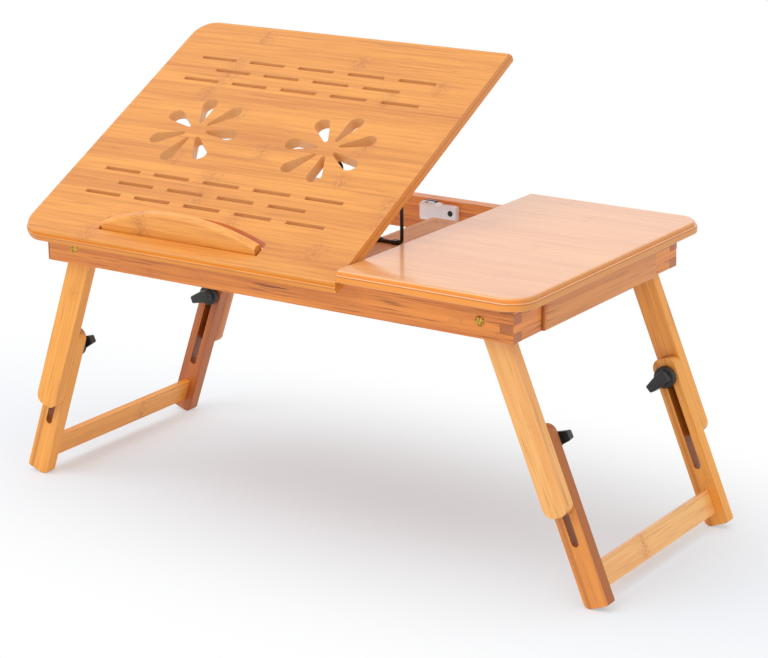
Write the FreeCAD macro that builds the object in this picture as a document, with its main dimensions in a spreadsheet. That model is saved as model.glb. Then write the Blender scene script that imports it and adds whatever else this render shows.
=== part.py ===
"""Bamboo laptop stand with a tilting board, folding telescopic legs and a drawer.

Millimetres. X runs along the top, Y from the user to the back, Z up. The origin is on the floor,
under the middle of the top. The driving sizes are in the sheet Size, and what follows from them
is in the sheet Place, so that every piece takes its size and seat from the same named values.
"""
import FreeCAD, Part
import math
import os
import re
import Sketcher

doc = FreeCAD.newDocument("LaptopStand")

SIZES = {
    # top
    "TopLength": 500, "TopDepth": 300, "TopThick": 10, "Overhang": 18, "CornerRound": 22,
    "SeamX": 82, "SeamGap": 1, "SeatGap": 0.3, "Tilt": 28.2,
    "LedgeInset": 2, "LedgeDrop": 3.5, "TopRound": 2, "UnderRound": 1.2,
    # frame under the top
    "RailHigh": 30, "RailThick": 12, "FingerCount": 4, "LapThick": 2, "StubClear": 0.5,
    "BevelWide": 4, "BevelHigh": 3.2, "TopDowelFromSeam": 36, "TopDowelFromEnd": 18,
    # legs, from the pivot down
    "SplayLeft": 19.3, "SplayRight": 22.5, "LegWide": 21.5, "LegThick": 11, "LayerGap": 0.3,
    "PivotUp": 13.75, "StopGap": 0.5, "UpperLeg": 163, "LowerLeg": 147.8, "LegRound": 8,
    "FootRound": 5, "FootEdge": 2,
    "ClampDown": 108, "SlotWide": 6.6, "SlotTop": 12, "SlotBottom": 50,
    "PivotRadius": 2.5, "PivotHead": 4.2, "PivotCrown": 3, "PivotHeadHigh": 1.6, "NutRadius": 4, "NutLong": 5,
    "RunningFit": 0.06,
    "StretcherHigh": 21, "StretcherThick": 5, "StretcherUp": 10.5, "StretcherPin": 1.6,
    "DowelRadius": 3, "DowelLong": 18, "DowelIntoTop": 6, "DowelIntoLeg": 6, "DowelEdge": 6,
    # clamps
    "StudRadius": 3, "InsertRadius": 4.5, "InsertLong": 8, "WasherRadius": 8, "WasherThick": 1,
    "WasherGap": 0.1, "KnobRadius": 9.5, "KnobDisc": 5, "KnobLong": 12.2,
    "WingReach": 15.5, "WingBack": 7.5, "WingRoot": 13, "WingTip": 8.4, "StudInKnob": 8,
    "KnobTurnFront": -25, "KnobTurnLeft": 160, "KnobTurnRight": 136,
    # vents in the tilting board
    "DashLong": 38, "DashWide": 4, "DashPitch": 53, "DashStart": 36, "DashShift": 25, "DashCount": 5,
    "DashRowPitch": 15.3, "DashBackRow": 53, "DashFrontRow": 59,
    "VentMiddle": 87, "VentSpread": 69.5, "VentBack": 1, "PetalCount": 7, "PetalStart": 10,
    "PetalRootRadius": 2, "PetalEnd": 43, "PetalTipRadius": 7,
    # book stop
    "StopLeft": 87, "StopLong": 160, "StopPivotIn": 22, "StopRise": 16.3, "StopStraight": 8.8,
    "StopFlat": 0.3, "StopSoft": 3, "StopGapAlong": 3, "StopGapAround": 0.8, "StopOpen": 75,
    "StopPinRadius": 1.25, "StopPinLong": 17, "StopPinInBoard": 6, "StopPinGap": 0.5,
    # hinges
    "HingeIn": 3.5, "HingeLong": 30, "HingeLeftX": 20, "HingeRightX": 21, "LeafThick": 1,
    "LeafReach": 8, "KnuckleRadius": 1.9, "KnuckleCount": 5, "KnuckleGap": 0.1,
    "HingePinRadius": 0.9, "NotchGap": 0.4,
    "ScrewRadius": 1.25, "ScrewHead": 2.3, "ScrewHeadDeep": 0.9, "ScrewLong": 7, "ScrewIn": 6,
    # prop
    "WireRadius": 1.5, "PropX": 50, "PropSpan": 60, "PropIn": 119, "PropHigh": 61.3, "PropFoot": 10,
    "WireBend": 4, "BoardLeft": 20, "BoardThick": 4, "BoardDown": 6, "BayGap": 0.5,
    "ClipLong": 5, "ClipWide": 4.8, "ClipHigh": 3.8, "ClipTab": 6, "ClipTabThick": 1,
    "CleatLong": 8, "CleatWide": 10, "CleatHigh": 5.8, "CleatGap": 0.6,
    "PadLong": 9, "PadHigh": 4.95, "PadEndHigh": 3.05,
    "ClipScrewLong": 3.4, "ClipScrewRadius": 1, "ClipScrewHead": 2, "ClipScrewCrown": 1.4,
    "ClipScrewHeadHigh": 1,
    # catch
    "CatchLeft": 12, "CatchLong": 19, "CatchDeep": 9.6, "CatchHigh": 15.6, "CatchDown": 2,
    "CatchTab": 17, "CatchTabDeep": 5, "CatchTabHigh": 13.4, "MagnetLong": 12, "MagnetHigh": 12,
    "MagnetThick": 4, "CatchScrewFrom": 11.4,
    "PoleThick": 1.4, "PoleUp": 1.4, "CatchScrewRadius": 1.5, "CatchScrewHead": 2.6,
    "CatchScrewHeadHigh": 1.4,
    "StrikeLong": 26, "StrikeWide": 10, "StrikeThick": 1, "StrikeScrewIn": 3,
    # drawer
    "DividerThick": 12, "DrawerLap": 6.5, "DrawerProud": 4, "DrawerFrontThick": 12,
    "DrawerFrontGap": 1.6, "DrawerRound": 3, "DrawerSideThick": 8, "DrawerSideHigh": 23,
    "DrawerBoxGap": 2, "GuideThick": 4, "GuideShelf": 2, "GuideLip": 7, "GuideGap": 0.3,
    "DrawerBottomThick": 3, "DrawerBottomUp": 2, "DrawerGroove": 3,
}

PLACES = {
    "FrameX": "TopLength / 2 - Overhang",
    "FrameY": "TopDepth / 2 - Overhang",
    "RailInX": "FrameX - RailThick",
    "RailInY": "FrameY - RailThick",
    "RightLegTop": "ClampDown - SlotTop - SlotWide / 2",
    "RightFoot": "RightLegTop + LowerLeg",
    "RightEase": "FootRound * (cos(SplayRight) + sin(SplayRight) - 1)",
    "LeftEase": "FootRound * (cos(SplayLeft) + sin(SplayLeft) - 1)",
    "PivotZ": "RightFoot * cos(SplayRight) + LegWide / 2 * sin(SplayRight) - RightEase",
    "LeftFoot": "(PivotZ - LegWide / 2 * sin(SplayLeft) + LeftEase) / cos(SplayLeft)",
    "FrameZ": "PivotZ - PivotUp",
    "TopZ": "FrameZ + RailHigh",
    "LeftPivotX": "-RailInX + StopGap + PivotUp * tan(SplayLeft) + LegWide / 2 / cos(SplayLeft)",
    "RightPivotX": "RailInX - StopGap - PivotUp * tan(SplayRight) - LegWide / 2 / cos(SplayRight)",
    "FarLeft": "LeftPivotX - LeftFoot * sin(SplayLeft) - LegWide / 2 * cos(SplayLeft)",
    "FarRight": "RightPivotX + RightFoot * sin(SplayRight) + LegWide / 2 * cos(SplayRight)",
    "ShiftX": "-(FarLeft + FarRight) / 2",
    "UpperOutY": "RailInY - LayerGap",
    "UpperInY": "UpperOutY - LegThick",
    "LowerOutY": "UpperInY - LayerGap",
    "LowerInY": "LowerOutY - LegThick",
    "WasherY": "LowerInY - WasherGap - WasherThick",
    "KnobY": "WasherY - WasherGap - KnobLong",
    "PanelThick": "TopThick - SeatGap",
    "PanelRight": "SeamX - SeamGap",
    "HingeY": "-FrameY + HingeIn",
    "HingeZ": "TopZ + SeatGap / 2",
    "PanelFront": "-TopDepth / 2 - HingeY",
    "PanelBack": "TopDepth / 2 - HingeY",
    "StopX": "-StopLeft",
    "StopPivotY": "PanelFront + StopPivotIn",
    "StopPivotZ": "SeatGap / 2 + PanelThick / 2",
    "VentIn": "TopDepth / 2 + VentBack",
    "BoardTop": "TopZ - BoardDown",
    "PropY": "-HingeY - PropIn",
    "PropZ": "BoardTop + WireRadius + RunningFit",
    "PropReach": "(-PropY - HingeY) * cos(Tilt) + (PropZ + PropHigh - HingeZ) * sin(Tilt)",
    "DividerLeft": "SeamX - DividerThick / 2",
    "DividerRight": "SeamX + DividerThick / 2",
    "DrawerFace": "FrameX + DrawerProud",
    "DrawerBack": "DrawerFace - DrawerFrontThick",
    "DrawerBoxStart": "DividerRight + DrawerBoxGap",
    "BayHalf": "KnobY - BayGap",
    "DrawerHalf": "BayHalf + DrawerLap",
    "DrawerSideOut": "BayHalf - GuideThick - GuideGap",
    "DrawerZ": "FrameZ + GuideShelf + GuideGap",
    "LeftClampX": "LeftPivotX - ClampDown * sin(SplayLeft)",
    "LeftClampZ": "PivotZ - ClampDown * cos(SplayLeft)",
    "RightClampX": "RightPivotX + ClampDown * sin(SplayRight)",
    "RightClampZ": "PivotZ - ClampDown * cos(SplayRight)",
    "StopWorldY": "HingeY + StopPivotY * cos(Tilt) - StopPivotZ * sin(Tilt)",
    "StopWorldZ": "HingeZ + StopPivotY * sin(Tilt) + StopPivotZ * cos(Tilt)",
    "HingeLeftStart": "-TopLength / 2 + HingeLeftX",
    "HingeRightStart": "PanelRight - HingeRightX - HingeLong",
    "CatchMiddle": "-CatchLeft + CatchLong / 2",
    "CatchTop": "TopZ - CatchDown",
}


def make_sheet(name, cells):
    """Make a sheet with a name in column A and its value, under that alias, in column B."""
    sheet = doc.addObject("Spreadsheet::Sheet", name)
    for row, (alias, value) in enumerate(cells.items(), start=1):
        sheet.set(f"A{row}", alias)
        sheet.set(f"B{row}", value)
        sheet.setAlias(f"B{row}", alias)
    doc.recompute()
    return sheet


def formula(text, own=()):
    """Point each capitalised word of a formula at the sheet that holds it."""
    def point(match):
        word = match.group(0)
        if word in own:
            return word
        return ("Size." if word in SIZES else "Place.") + word
    return re.sub(r"\b[A-Z]\w+", point, str(text))


size_sheet = make_sheet("Size", {alias: str(value) for alias, value in SIZES.items()})
place_sheet = make_sheet("Place", {alias: "=" + formula(text, PLACES) for alias, text in PLACES.items()})
scratch_sheet = doc.addObject("Spreadsheet::Sheet", "Scratch")

TURN_Z_TO = {
    "X": FreeCAD.Rotation(FreeCAD.Vector(0, 1, 0), 90),
    "Y": FreeCAD.Rotation(FreeCAD.Vector(1, 0, 0), -90),
    "Z": FreeCAD.Rotation(),
}
X_AXIS, Y_AXIS = range(-1, -3, -1)
ORIGIN = X_AXIS
CLOSE = 1e-4
nodes = {}


def value(alias):
    """The number that a sheet holds under an alias."""
    sheet = size_sheet if alias in SIZES else place_sheet
    return float(sheet.get(alias))


def number(text):
    """What a formula comes to, worked out in the first cell of a sheet of its own."""
    scratch_sheet.set("A1", "=" + formula(text))
    scratch_sheet.recompute()
    return float(scratch_sheet.get("A1"))


def move(item, place, path="Placement"):
    """Bind an object's place to three formulas."""
    for axis, text in zip("xyz", place):
        item.setExpression(f"{path}.Base.{axis}", formula(text))


def node(name, item):
    """Keep an object as the sub-part of that name, set over the origin, and give the object back."""
    placed = doc.addObject("Part::Compound", name)
    placed.Links = [item]
    placed.Label = name
    move(placed, ("ShiftX", "0", "0"))
    nodes[name] = placed
    return item


def block(low, high, name="Block"):
    """A box between two corners."""
    item = doc.addObject("Part::Box", name)
    for side, start, end in zip(("Length", "Width", "Height"), low, high):
        item.setExpression(side, formula(f"({end}) - ({start})"))
    move(item, low)
    return item


def rod(radius, length, start, along="Z", name="Rod"):
    """A cylinder that runs from a point along an axis."""
    item = doc.addObject("Part::Cylinder", name)
    item.setExpression("Radius", formula(radius))
    item.setExpression("Height", formula(length))
    item.Placement.Rotation = TURN_Z_TO[along]
    move(item, start)
    return item


def cone(radius, end_radius, length, start, along="Z"):
    """A cone that runs from a point along an axis."""
    item = doc.addObject("Part::Cone", "Cone")
    item.setExpression("Radius1", formula(radius))
    item.setExpression("Radius2", formula(end_radius))
    item.setExpression("Height", formula(length))
    item.Placement.Rotation = TURN_Z_TO[along]
    move(item, start)
    return item


def fuse(parts, name="Fusion"):
    """Join solids, or hold several separate ones together."""
    if len(parts) == 1:
        return parts[0]
    item = doc.addObject("Part::MultiFuse", name)
    item.Shapes = list(parts)
    return item


def cut(base, tools, name="Cut"):
    """Cut tools from a solid."""
    item = doc.addObject("Part::Cut", name)
    item.Base = base
    item.Tool = fuse(list(tools))
    return item


def mirror_back(source, name="Mirror"):
    """The same piece on the back side, mirrored across the middle of the depth."""
    item = doc.addObject("Part::Mirroring", name)
    item.Source = source
    item.Normal = FreeCAD.Vector(0, 1, 0)
    return item


def copy_at(source, place=("0", "0", "0"), axis=(0, 0, 1), angle="0"):
    """A second copy of a solid, turned about an axis and moved."""
    item = doc.addObject("Part::Compound", "Copy")
    item.Links = [source]
    item.Placement = FreeCAD.Placement(FreeCAD.Vector(), FreeCAD.Rotation(FreeCAD.Vector(*axis), 1))
    item.setExpression("Placement.Rotation.Angle", formula(angle))
    move(item, place)
    return item


def origin_plane(body, role):
    """A body's own origin plane."""
    return next(item for item in body.Origin.OriginFeatures if item.Role == role)


def sketch_on(body, plane, offset=("0", "0", "0"), turn=None):
    """A sketch on one of a body's origin planes, moved by an offset in the sketch's own axes."""
    sketch = body.newObject("Sketcher::SketchObject", "Sketch")
    sketch.AttachmentSupport = [(origin_plane(body, plane), "")]
    sketch.MapMode = "FlatFace"
    if turn is not None:
        sketch.AttachmentOffset = FreeCAD.Placement(
            FreeCAD.Vector(), FreeCAD.Rotation(FreeCAD.Vector(0, 0, 1), 1))
        sketch.setExpression("AttachmentOffset.Rotation.Angle", formula(turn))
    move(sketch, offset, "AttachmentOffset")
    return sketch


def bind(sketch, kind, *where, to):
    """Add a driving constraint to a sketch, as the geometry lies, and bind it to a formula."""
    if kind == "Radius":
        present = sketch.Geometry[where[0]].Radius
    else:
        ends = [FreeCAD.Vector() if where[i] == ORIGIN else sketch.getPoint(where[i], where[i + 1])
                for i in (0, 2)]
        gap = ends[1] - ends[0]
        present = gap.x if kind == "DistanceX" else gap.y
    index = sketch.addConstraint(Sketcher.Constraint(kind, *where, present))
    sketch.setExpression(f"Constraints[{index}]", formula(to))


def line(sketch, start, end):
    """A straight edge between two points."""
    return sketch.addGeometry(
        Part.LineSegment(FreeCAD.Vector(*start, 0), FreeCAD.Vector(*end, 0)), False)


def rectangle(sketch, wide, high):
    """A rectangle from the sketch's origin to wide and high."""
    right, top = number(wide), number(high)
    corners = [(0, 0), (right, 0), (right, top), (0, top)]
    sides = [line(sketch, corners[i], corners[(i + 1) % 4]) for i in range(4)]
    for i, side in enumerate(sides):
        sketch.addConstraint(Sketcher.Constraint("Coincident", side, 2, sides[(i + 1) % 4], 1))
        sketch.addConstraint(Sketcher.Constraint("Vertical" if i % 2 else "Horizontal", side))
    sketch.addConstraint(Sketcher.Constraint("Coincident", sides[0], 1, ORIGIN, 1))
    bind(sketch, "DistanceX", sides[0], 1, sides[0], 2, to=wide)
    bind(sketch, "DistanceY", sides[1], 1, sides[1], 2, to=high)


def circle(sketch, radius):
    """A circle about the sketch's origin."""
    ring = sketch.addGeometry(
        Part.Circle(FreeCAD.Vector(0, 0, 0), FreeCAD.Vector(0, 0, 1), number(radius)), False)
    sketch.addConstraint(Sketcher.Constraint("Coincident", ring, 3, ORIGIN, 1))
    bind(sketch, "Radius", ring, to=radius)


def pad(body, sketch, length, back=False):
    """Raise a sketch by a length."""
    feature = body.newObject("PartDesign::Pad", "Pad")
    feature.Profile = sketch
    feature.setExpression("Length", formula(length))
    feature.Reversed = back
    sketch.Visibility = False
    doc.recompute()
    return feature


def pocket(body, sketch):
    """Cut a sketch through the whole body, both ways."""
    feature = body.newObject("PartDesign::Pocket", "Pocket")
    feature.Profile = sketch
    feature.Type = "ThroughAll"
    feature.Midplane = True
    doc.recompute()
    return feature


def round_edges(body, radius, choose):
    """Round those edges of a body that a test picks."""
    shape = body.Tip.Shape
    names = [f"Edge{i}" for i, edge in enumerate(shape.Edges, start=1) if choose(edge)]
    feature = body.newObject("PartDesign::Fillet", "Fillet")
    feature.Base = (body.Tip if body.Tip != feature else feature.BaseFeature, names)
    feature.setExpression("Radius", formula(radius))
    doc.recompute()
    return feature


def new_body(name, place=("0", "0", "0"), axis=None, angle=None):
    """A body at a place, turned about an axis where it has one."""
    body = doc.addObject("PartDesign::Body", name)
    if axis:
        body.Placement = FreeCAD.Placement(
            FreeCAD.Vector(), FreeCAD.Rotation(FreeCAD.Vector(*axis), 1))
        body.setExpression("Placement.Rotation.Angle", formula(angle))
    move(body, place)
    return body


def runs_along(edge, axis):
    """Whether an edge is straight and parallel to an axis."""
    if edge.Curve.TypeId != "Part::GeomLine":
        return False
    way = edge.Vertexes[-1].Point - edge.Vertexes[0].Point
    return abs(abs(way.normalize().dot(FreeCAD.Vector(*axis))) - 1) < CLOSE


def on_board(item):
    """Carry a piece made in the closed board's axes, with the hinge axis as origin, up to its tilt."""
    return copy_at(item, ("0", "HingeY", "HingeZ"), (1, 0, 0), "Tilt")


def flat(z):
    """A test for edges that lie at one height and are not along the seam."""
    seam = (value("SeamX"), value("PanelRight"))

    def test(edge):
        box = edge.BoundBox
        level = abs(box.ZMin - z) < CLOSE and abs(box.ZMax - z) < CLOSE
        on_seam = box.XLength < CLOSE and min(abs(box.XMin - x) for x in seam) < CLOSE
        return level and not on_seam
    return test


def make_board(body, left, right, front, back, under, thick):
    """A board in two tiers: the upper one is set in along the outer edges, with a rounded rim."""
    seam = right if right == "PanelRight" else left
    inset = "LedgeInset"
    ledge = f"{under} + {thick} - LedgeDrop"
    in_left = left if seam == left else f"{left} + {inset}"
    in_right = right if seam == right else f"{right} - {inset}"

    def corners_between(low, high):
        return lambda edge: (runs_along(edge, (0, 0, 1)) and abs(edge.Vertexes[0].X - value(seam)) > CLOSE
                             and low - CLOSE < edge.BoundBox.ZMin and edge.BoundBox.ZMax < high + CLOSE)

    upper = sketch_on(body, "XY_Plane", (in_left, f"{front} + {inset}", ledge))
    rectangle(upper, f"({in_right}) - ({in_left})", f"({back}) - ({front}) - 2 * {inset}")
    pad(body, upper, "LedgeDrop")
    ledge_z = body.Tip.Shape.BoundBox.ZMin
    top_z = body.Tip.Shape.BoundBox.ZMax
    round_edges(body, "CornerRound - LedgeInset", corners_between(ledge_z, top_z))
    lower = sketch_on(body, "XY_Plane", (left, front, under))
    rectangle(lower, f"({right}) - ({left})", f"({back}) - ({front})")
    pad(body, lower, f"{thick} - LedgeDrop")
    low_z = body.Tip.Shape.BoundBox.ZMin
    round_edges(body, "CornerRound", corners_between(low_z, ledge_z))
    rim = body.Tip.Shape.BoundBox
    outer = rim.XMax if seam == left else rim.XMin

    def outline_at(z):
        return lambda edge: flat(z)(edge) and touches(edge.BoundBox, rim, outer)

    round_edges(body, "UnderRound", lambda edge: outline_at(low_z)(edge) or outline_at(ledge_z)(edge))
    round_edges(body, "TopRound", flat(top_z))


def touches(box, rim, outer):
    """Whether a box reaches the front, the back or the outer end of the box around it."""
    gaps = (box.YMin - rim.YMin, rim.YMax - box.YMax, abs(box.XMin - outer), abs(box.XMax - outer))
    return min(gaps) < CLOSE


def teardrop(sketch, start, root, end, tip):
    """A drop along the sketch's X axis: two round ends of their own radius, and tangent sides."""
    small_end, small_radius, large_radius = number(f"{start} + {root}"), number(root), number(tip)
    large_end = number(f"{end} - {tip}")
    lean = math.asin((large_radius - small_radius) / (large_end - small_end))
    quarter = math.pi / 2
    up = FreeCAD.Vector(0, 0, 1)
    small = Part.Circle(FreeCAD.Vector(small_end, 0, 0), up, small_radius)
    large = Part.Circle(FreeCAD.Vector(large_end, 0, 0), up, large_radius)
    root_arc = sketch.addGeometry(Part.ArcOfCircle(small, quarter + lean, 3 * quarter - lean), False)
    tip_arc = sketch.addGeometry(Part.ArcOfCircle(large, -quarter - lean, quarter + lean), False)
    back, out = math.sin(lean), math.cos(lean)
    at_tip = (large_end - large_radius * back, large_radius * out)
    at_root = (small_end - small_radius * back, small_radius * out)
    upper = line(sketch, at_tip, at_root)
    lower = line(sketch, (at_root[0], -at_root[1]), (at_tip[0], -at_tip[1]))
    for joint in ((tip_arc, 2, upper, 1), (upper, 2, root_arc, 1),
                  (root_arc, 2, lower, 1), (lower, 2, tip_arc, 1)):
        sketch.addConstraint(Sketcher.Constraint("Tangent", *joint))
    sketch.addConstraint(Sketcher.Constraint("PointOnObject", root_arc, 3, X_AXIS))
    sketch.addConstraint(Sketcher.Constraint("PointOnObject", tip_arc, 3, X_AXIS))
    bind(sketch, "Radius", root_arc, to=root)
    bind(sketch, "Radius", tip_arc, to=tip)
    bind(sketch, "DistanceX", ORIGIN, 1, tip_arc, 3, to=f"{end} - {tip}")
    bind(sketch, "DistanceX", ORIGIN, 1, root_arc, 3, to=f"{start} + {root}")


def add_dashes(body):
    """Two groups of three rows of dash-shaped vents, the middle row of each set between the others."""
    groups = (("PanelFront + DashFrontRow", "+"), ("PanelBack - DashBackRow", "-"))
    for first_row, way in groups:
        for row in range(3):
            between = row == 1
            start = "-TopLength / 2 + DashStart" + (" + DashShift" if between else "")
            across = f"{first_row} {way} {row} * DashRowPitch"
            sketch = sketch_on(body, "XY_Plane", (start, f"{across} - DashWide / 2", "0"))
            rectangle(sketch, "DashLong", "DashWide")
            dash = pocket(body, sketch)
            repeat = body.newObject("PartDesign::LinearPattern", "DashRow")
            repeat.Originals = [dash]
            repeat.Direction = (sketch, ["H_Axis"])
            count = "DashCount - 1" if between else "DashCount"
            repeat.setExpression("Length", formula(f"DashPitch * ({count} - 1)"))
            repeat.setExpression("Occurrences", formula(count))
            body.Tip = repeat
            doc.recompute()


def add_flower(body, centre, turn):
    """A ring of petal-shaped vents."""
    sketch = sketch_on(body, "XY_Plane", (centre, "PanelFront + VentIn", "0"), turn=turn)
    teardrop(sketch, "PetalStart", "PetalRootRadius", "PetalEnd", "PetalTipRadius")
    petal = pocket(body, sketch)
    ring = body.newObject("PartDesign::PolarPattern", "Petals")
    ring.Originals = [petal]
    ring.Axis = (sketch, ["N_Axis"])
    ring.Angle = 360
    ring.setExpression("Occurrences", formula("PetalCount"))
    body.Tip = ring
    doc.recompute()


def bow(sketch, long, rise, straight, base):
    """A D with its chord along X: a straight base, short upright ends and one arc over them."""
    chord, arch, upright, below = number(long), number(rise), number(straight), number(base)
    radius = (chord ** 2 / 4 + arch ** 2) / (2 * arch)
    centre = FreeCAD.Vector(0, upright + arch - radius, 0)
    spread = math.asin(chord / 2 / radius)
    quarter = math.pi / 2
    ring = Part.Circle(centre, FreeCAD.Vector(0, 0, 1), radius)
    arc = sketch.addGeometry(Part.ArcOfCircle(ring, quarter - spread, quarter + spread), False)
    left = line(sketch, (-chord / 2, upright), (-chord / 2, -below))
    bottom = line(sketch, (-chord / 2, -below), (chord / 2, -below))
    right = line(sketch, (chord / 2, -below), (chord / 2, upright))
    for joint in ((arc, 2, left, 1), (left, 2, bottom, 1), (bottom, 2, right, 1), (right, 2, arc, 1)):
        sketch.addConstraint(Sketcher.Constraint("Coincident", *joint))
    sketch.addConstraint(Sketcher.Constraint("Vertical", left))
    sketch.addConstraint(Sketcher.Constraint("Vertical", right))
    sketch.addConstraint(Sketcher.Constraint("Horizontal", bottom))
    sketch.addConstraint(Sketcher.Constraint("PointOnObject", arc, 3, Y_AXIS))
    bind(sketch, "DistanceX", bottom, 1, bottom, 2, to=long)
    bind(sketch, "DistanceY", bottom, 2, ORIGIN, 1, to=base)
    bind(sketch, "DistanceY", ORIGIN, 1, right, 2, to=straight)
    bind(sketch, "Radius", arc, to=f"(({long}) * ({long}) / 4 + ({rise}) * ({rise})) / (2 * ({rise}))")


def flat_screw(start, up):
    """A small countersunk screw that points down from a face, or up from it."""
    deep = "ScrewLong - ScrewHeadDeep"
    if up:
        head = cone("ScrewHead", "ScrewRadius", "ScrewHeadDeep", start)
        shank = rod("ScrewRadius", deep, (start[0], start[1], f"{start[2]} + ScrewHeadDeep"))
    else:
        head_at = (start[0], start[1], f"{start[2]} - ScrewHeadDeep")
        head = cone("ScrewRadius", "ScrewHead", "ScrewHeadDeep", head_at)
        shank = rod("ScrewRadius", deep, (start[0], start[1], f"{start[2]} - ScrewLong"))
    return fuse([head, shank], "Screw")


HINGES = ("HingeLeftStart", "HingeRightStart")
LEAF_SCREWS = ("ScrewIn", "HingeLong - ScrewIn")


def hinge_leaf(start, is_board, y="0", z="0"):
    """One leaf of a butt hinge about an axis at y and z: it keeps every other knuckle."""
    low, high = ("SeatGap / 2", "SeatGap / 2 + LeafThick")
    if not is_board:
        low, high = (f"-({high})", f"-{low}")
    near = "KnuckleRadius + NotchGap / 2"
    parts = [block((start, f"{y} + {near}", f"{z} + {low}"),
                   (f"{start} + HingeLong", f"{y} + LeafReach", f"{z} + {high}"))]
    for knuckle in range(1 if is_board else 0, int(value("KnuckleCount")), 2):
        first = f"{start} + {knuckle} * HingeLong / KnuckleCount + KnuckleGap / 2"
        last = f"{start} + {knuckle + 1} * HingeLong / KnuckleCount - KnuckleGap / 2"
        parts.append(block((first, y, f"{z} + {low}"), (last, f"{y} + {near}", f"{z} + {high}")))
        parts.append(rod("KnuckleRadius", f"({last}) - ({first})", (first, y, z), "X"))
    bore = rod("HingePinRadius + RunningFit", "HingeLong", (start, y, z), "X")
    return cut(fuse(parts), [bore], "Leaf")


def hinge_seat(start, y, low, high):
    """The room that a hinge needs in the wood: a groove for the knuckles and a seat for a leaf."""
    z = "0" if y == "0" else "HingeZ"
    groove = rod("KnuckleRadius + NotchGap", "HingeLong + NotchGap", (f"{start} - NotchGap / 2", y, z), "X")
    seat = block((start, y, low), (f"{start} + HingeLong", f"{y} + LeafReach", high))
    return [groove, seat]


def make_hinges():
    """Two butt hinges, their pins and their screws."""
    axis = ("HingeY", "HingeZ")
    frame_screws = fuse([
        flat_screw((f"{start} + {along}", "HingeY + LeafReach / 2 + KnuckleRadius / 2", "TopZ"), False)
        for start in HINGES for along in LEAF_SCREWS])
    frame_leaves = cut(fuse([hinge_leaf(start, False, *axis) for start in HINGES]), [frame_screws])
    node("hinge_frame_leaves", frame_leaves)
    node("hinge_frame_screws", frame_screws)
    board_screws = fuse([
        flat_screw((f"{start} + {along}", "LeafReach / 2 + KnuckleRadius / 2", "SeatGap / 2"), True)
        for start in HINGES for along in LEAF_SCREWS])
    leaves = cut(fuse([hinge_leaf(start, True) for start in HINGES]), [board_screws])
    node("hinge_panel_leaves", on_board(leaves))
    node("hinge_panel_screws", on_board(board_screws))
    node("hinge_pins", fuse([rod("HingePinRadius", "HingeLong", (start, *axis), "X") for start in HINGES]))
    return frame_screws, board_screws


def make_tilt_panel(board_screws, strike, strike_screws):
    """The large board, with vents, the cut-out of the book stop and the seats of its hinges."""
    body = new_body("PanelBody")
    make_board(body, "-TopLength / 2", "PanelRight", "PanelFront", "PanelBack", "SeatGap / 2",
               "PanelThick")
    add_dashes(body)
    add_flower(body, "-VentMiddle - VentSpread", "0")
    add_flower(body, "-VentMiddle + VentSpread", "180")
    opening = sketch_on(body, "XY_Plane", ("StopX", "StopPivotY", "0"))
    bow(opening, "StopLong + 2 * StopGapAlong", "StopRise", "StopStraight + StopGapAround",
        "PanelThick / 2 + StopGapAround")
    pocket(body, opening)
    seats = []
    for start in HINGES:
        seats += hinge_seat(start, "0", "SeatGap / 2", "SeatGap / 2 + LeafThick")
    pins = stop_pins()
    node("book_stop_pins", on_board(pins))
    node("tilt_panel", on_board(cut(body, seats + [board_screws, strike, strike_screws, pins])))


def stop_pins():
    """The two pins that the book stop turns on, in the closed board's axes."""
    inner = "StopPinLong - StopPinInBoard"
    left = "StopX - StopLong / 2 - StopGapAlong - StopPinInBoard"
    right = f"StopX + StopLong / 2 + StopGapAlong - ({inner})"
    return fuse([rod("StopPinRadius", "StopPinLong", (start, "StopPivotY", "StopPivotZ"), "X")
                 for start in (left, right)])


def make_book_stop():
    """The bow-shaped lip, standing up from the board on its pins."""
    body = new_body("StopBody", ("StopX", "StopWorldY", "StopWorldZ"), (1, 0, 0), "Tilt + StopOpen")
    sketch = sketch_on(body, "XY_Plane", ("0", "0", "-PanelThick / 2"))
    bow(sketch, "StopLong", "StopRise", "StopStraight", "PanelThick / 2")
    pad(body, sketch, "PanelThick")
    base = -value("PanelThick") / 2
    round_edges(body, "PanelThick / 2 - StopFlat / 2",
                lambda edge: runs_along(edge, (1, 0, 0)) and abs(edge.Vertexes[0].Y - base) < CLOSE)
    round_edges(body, "StopSoft", lambda edge: isinstance(edge.Curve, Part.Circle)
                and abs(abs(edge.Curve.Axis.z) - 1) < CLOSE)
    bore = rod("StopPinRadius + RunningFit", "StopLong",
               ("StopX - StopLong / 2", "StopWorldY", "StopWorldZ"), "X")
    bore_middle = "StopLong - 2 * (StopPinLong - StopPinInBoard - StopGapAlong + StopPinGap)"
    plug = rod("StopPinRadius + RunningFit", bore_middle,
               (f"StopX - ({bore_middle}) / 2", "StopWorldY", "StopWorldZ"), "X")
    node("book_stop", cut(body, [cut(bore, [plug])]))


def rail_blank(side):
    """A long rail with finger joints at its right end; side is the sign of Y."""
    low, high = ("-FrameY", "-RailInY") if side == "-" else ("RailInY", "FrameY")
    parts = [block(("-FrameX + LapThick", low, "FrameZ"), ("RailInX", high, "TopZ"))]
    for finger in range(0, int(value("FingerCount")), 2):
        parts.append(block(("RailInX", low, f"FrameZ + {finger} * RailHigh / FingerCount"),
                           ("FrameX", high, f"FrameZ + {finger + 1} * RailHigh / FingerCount")))
    return fuse(parts)


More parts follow.
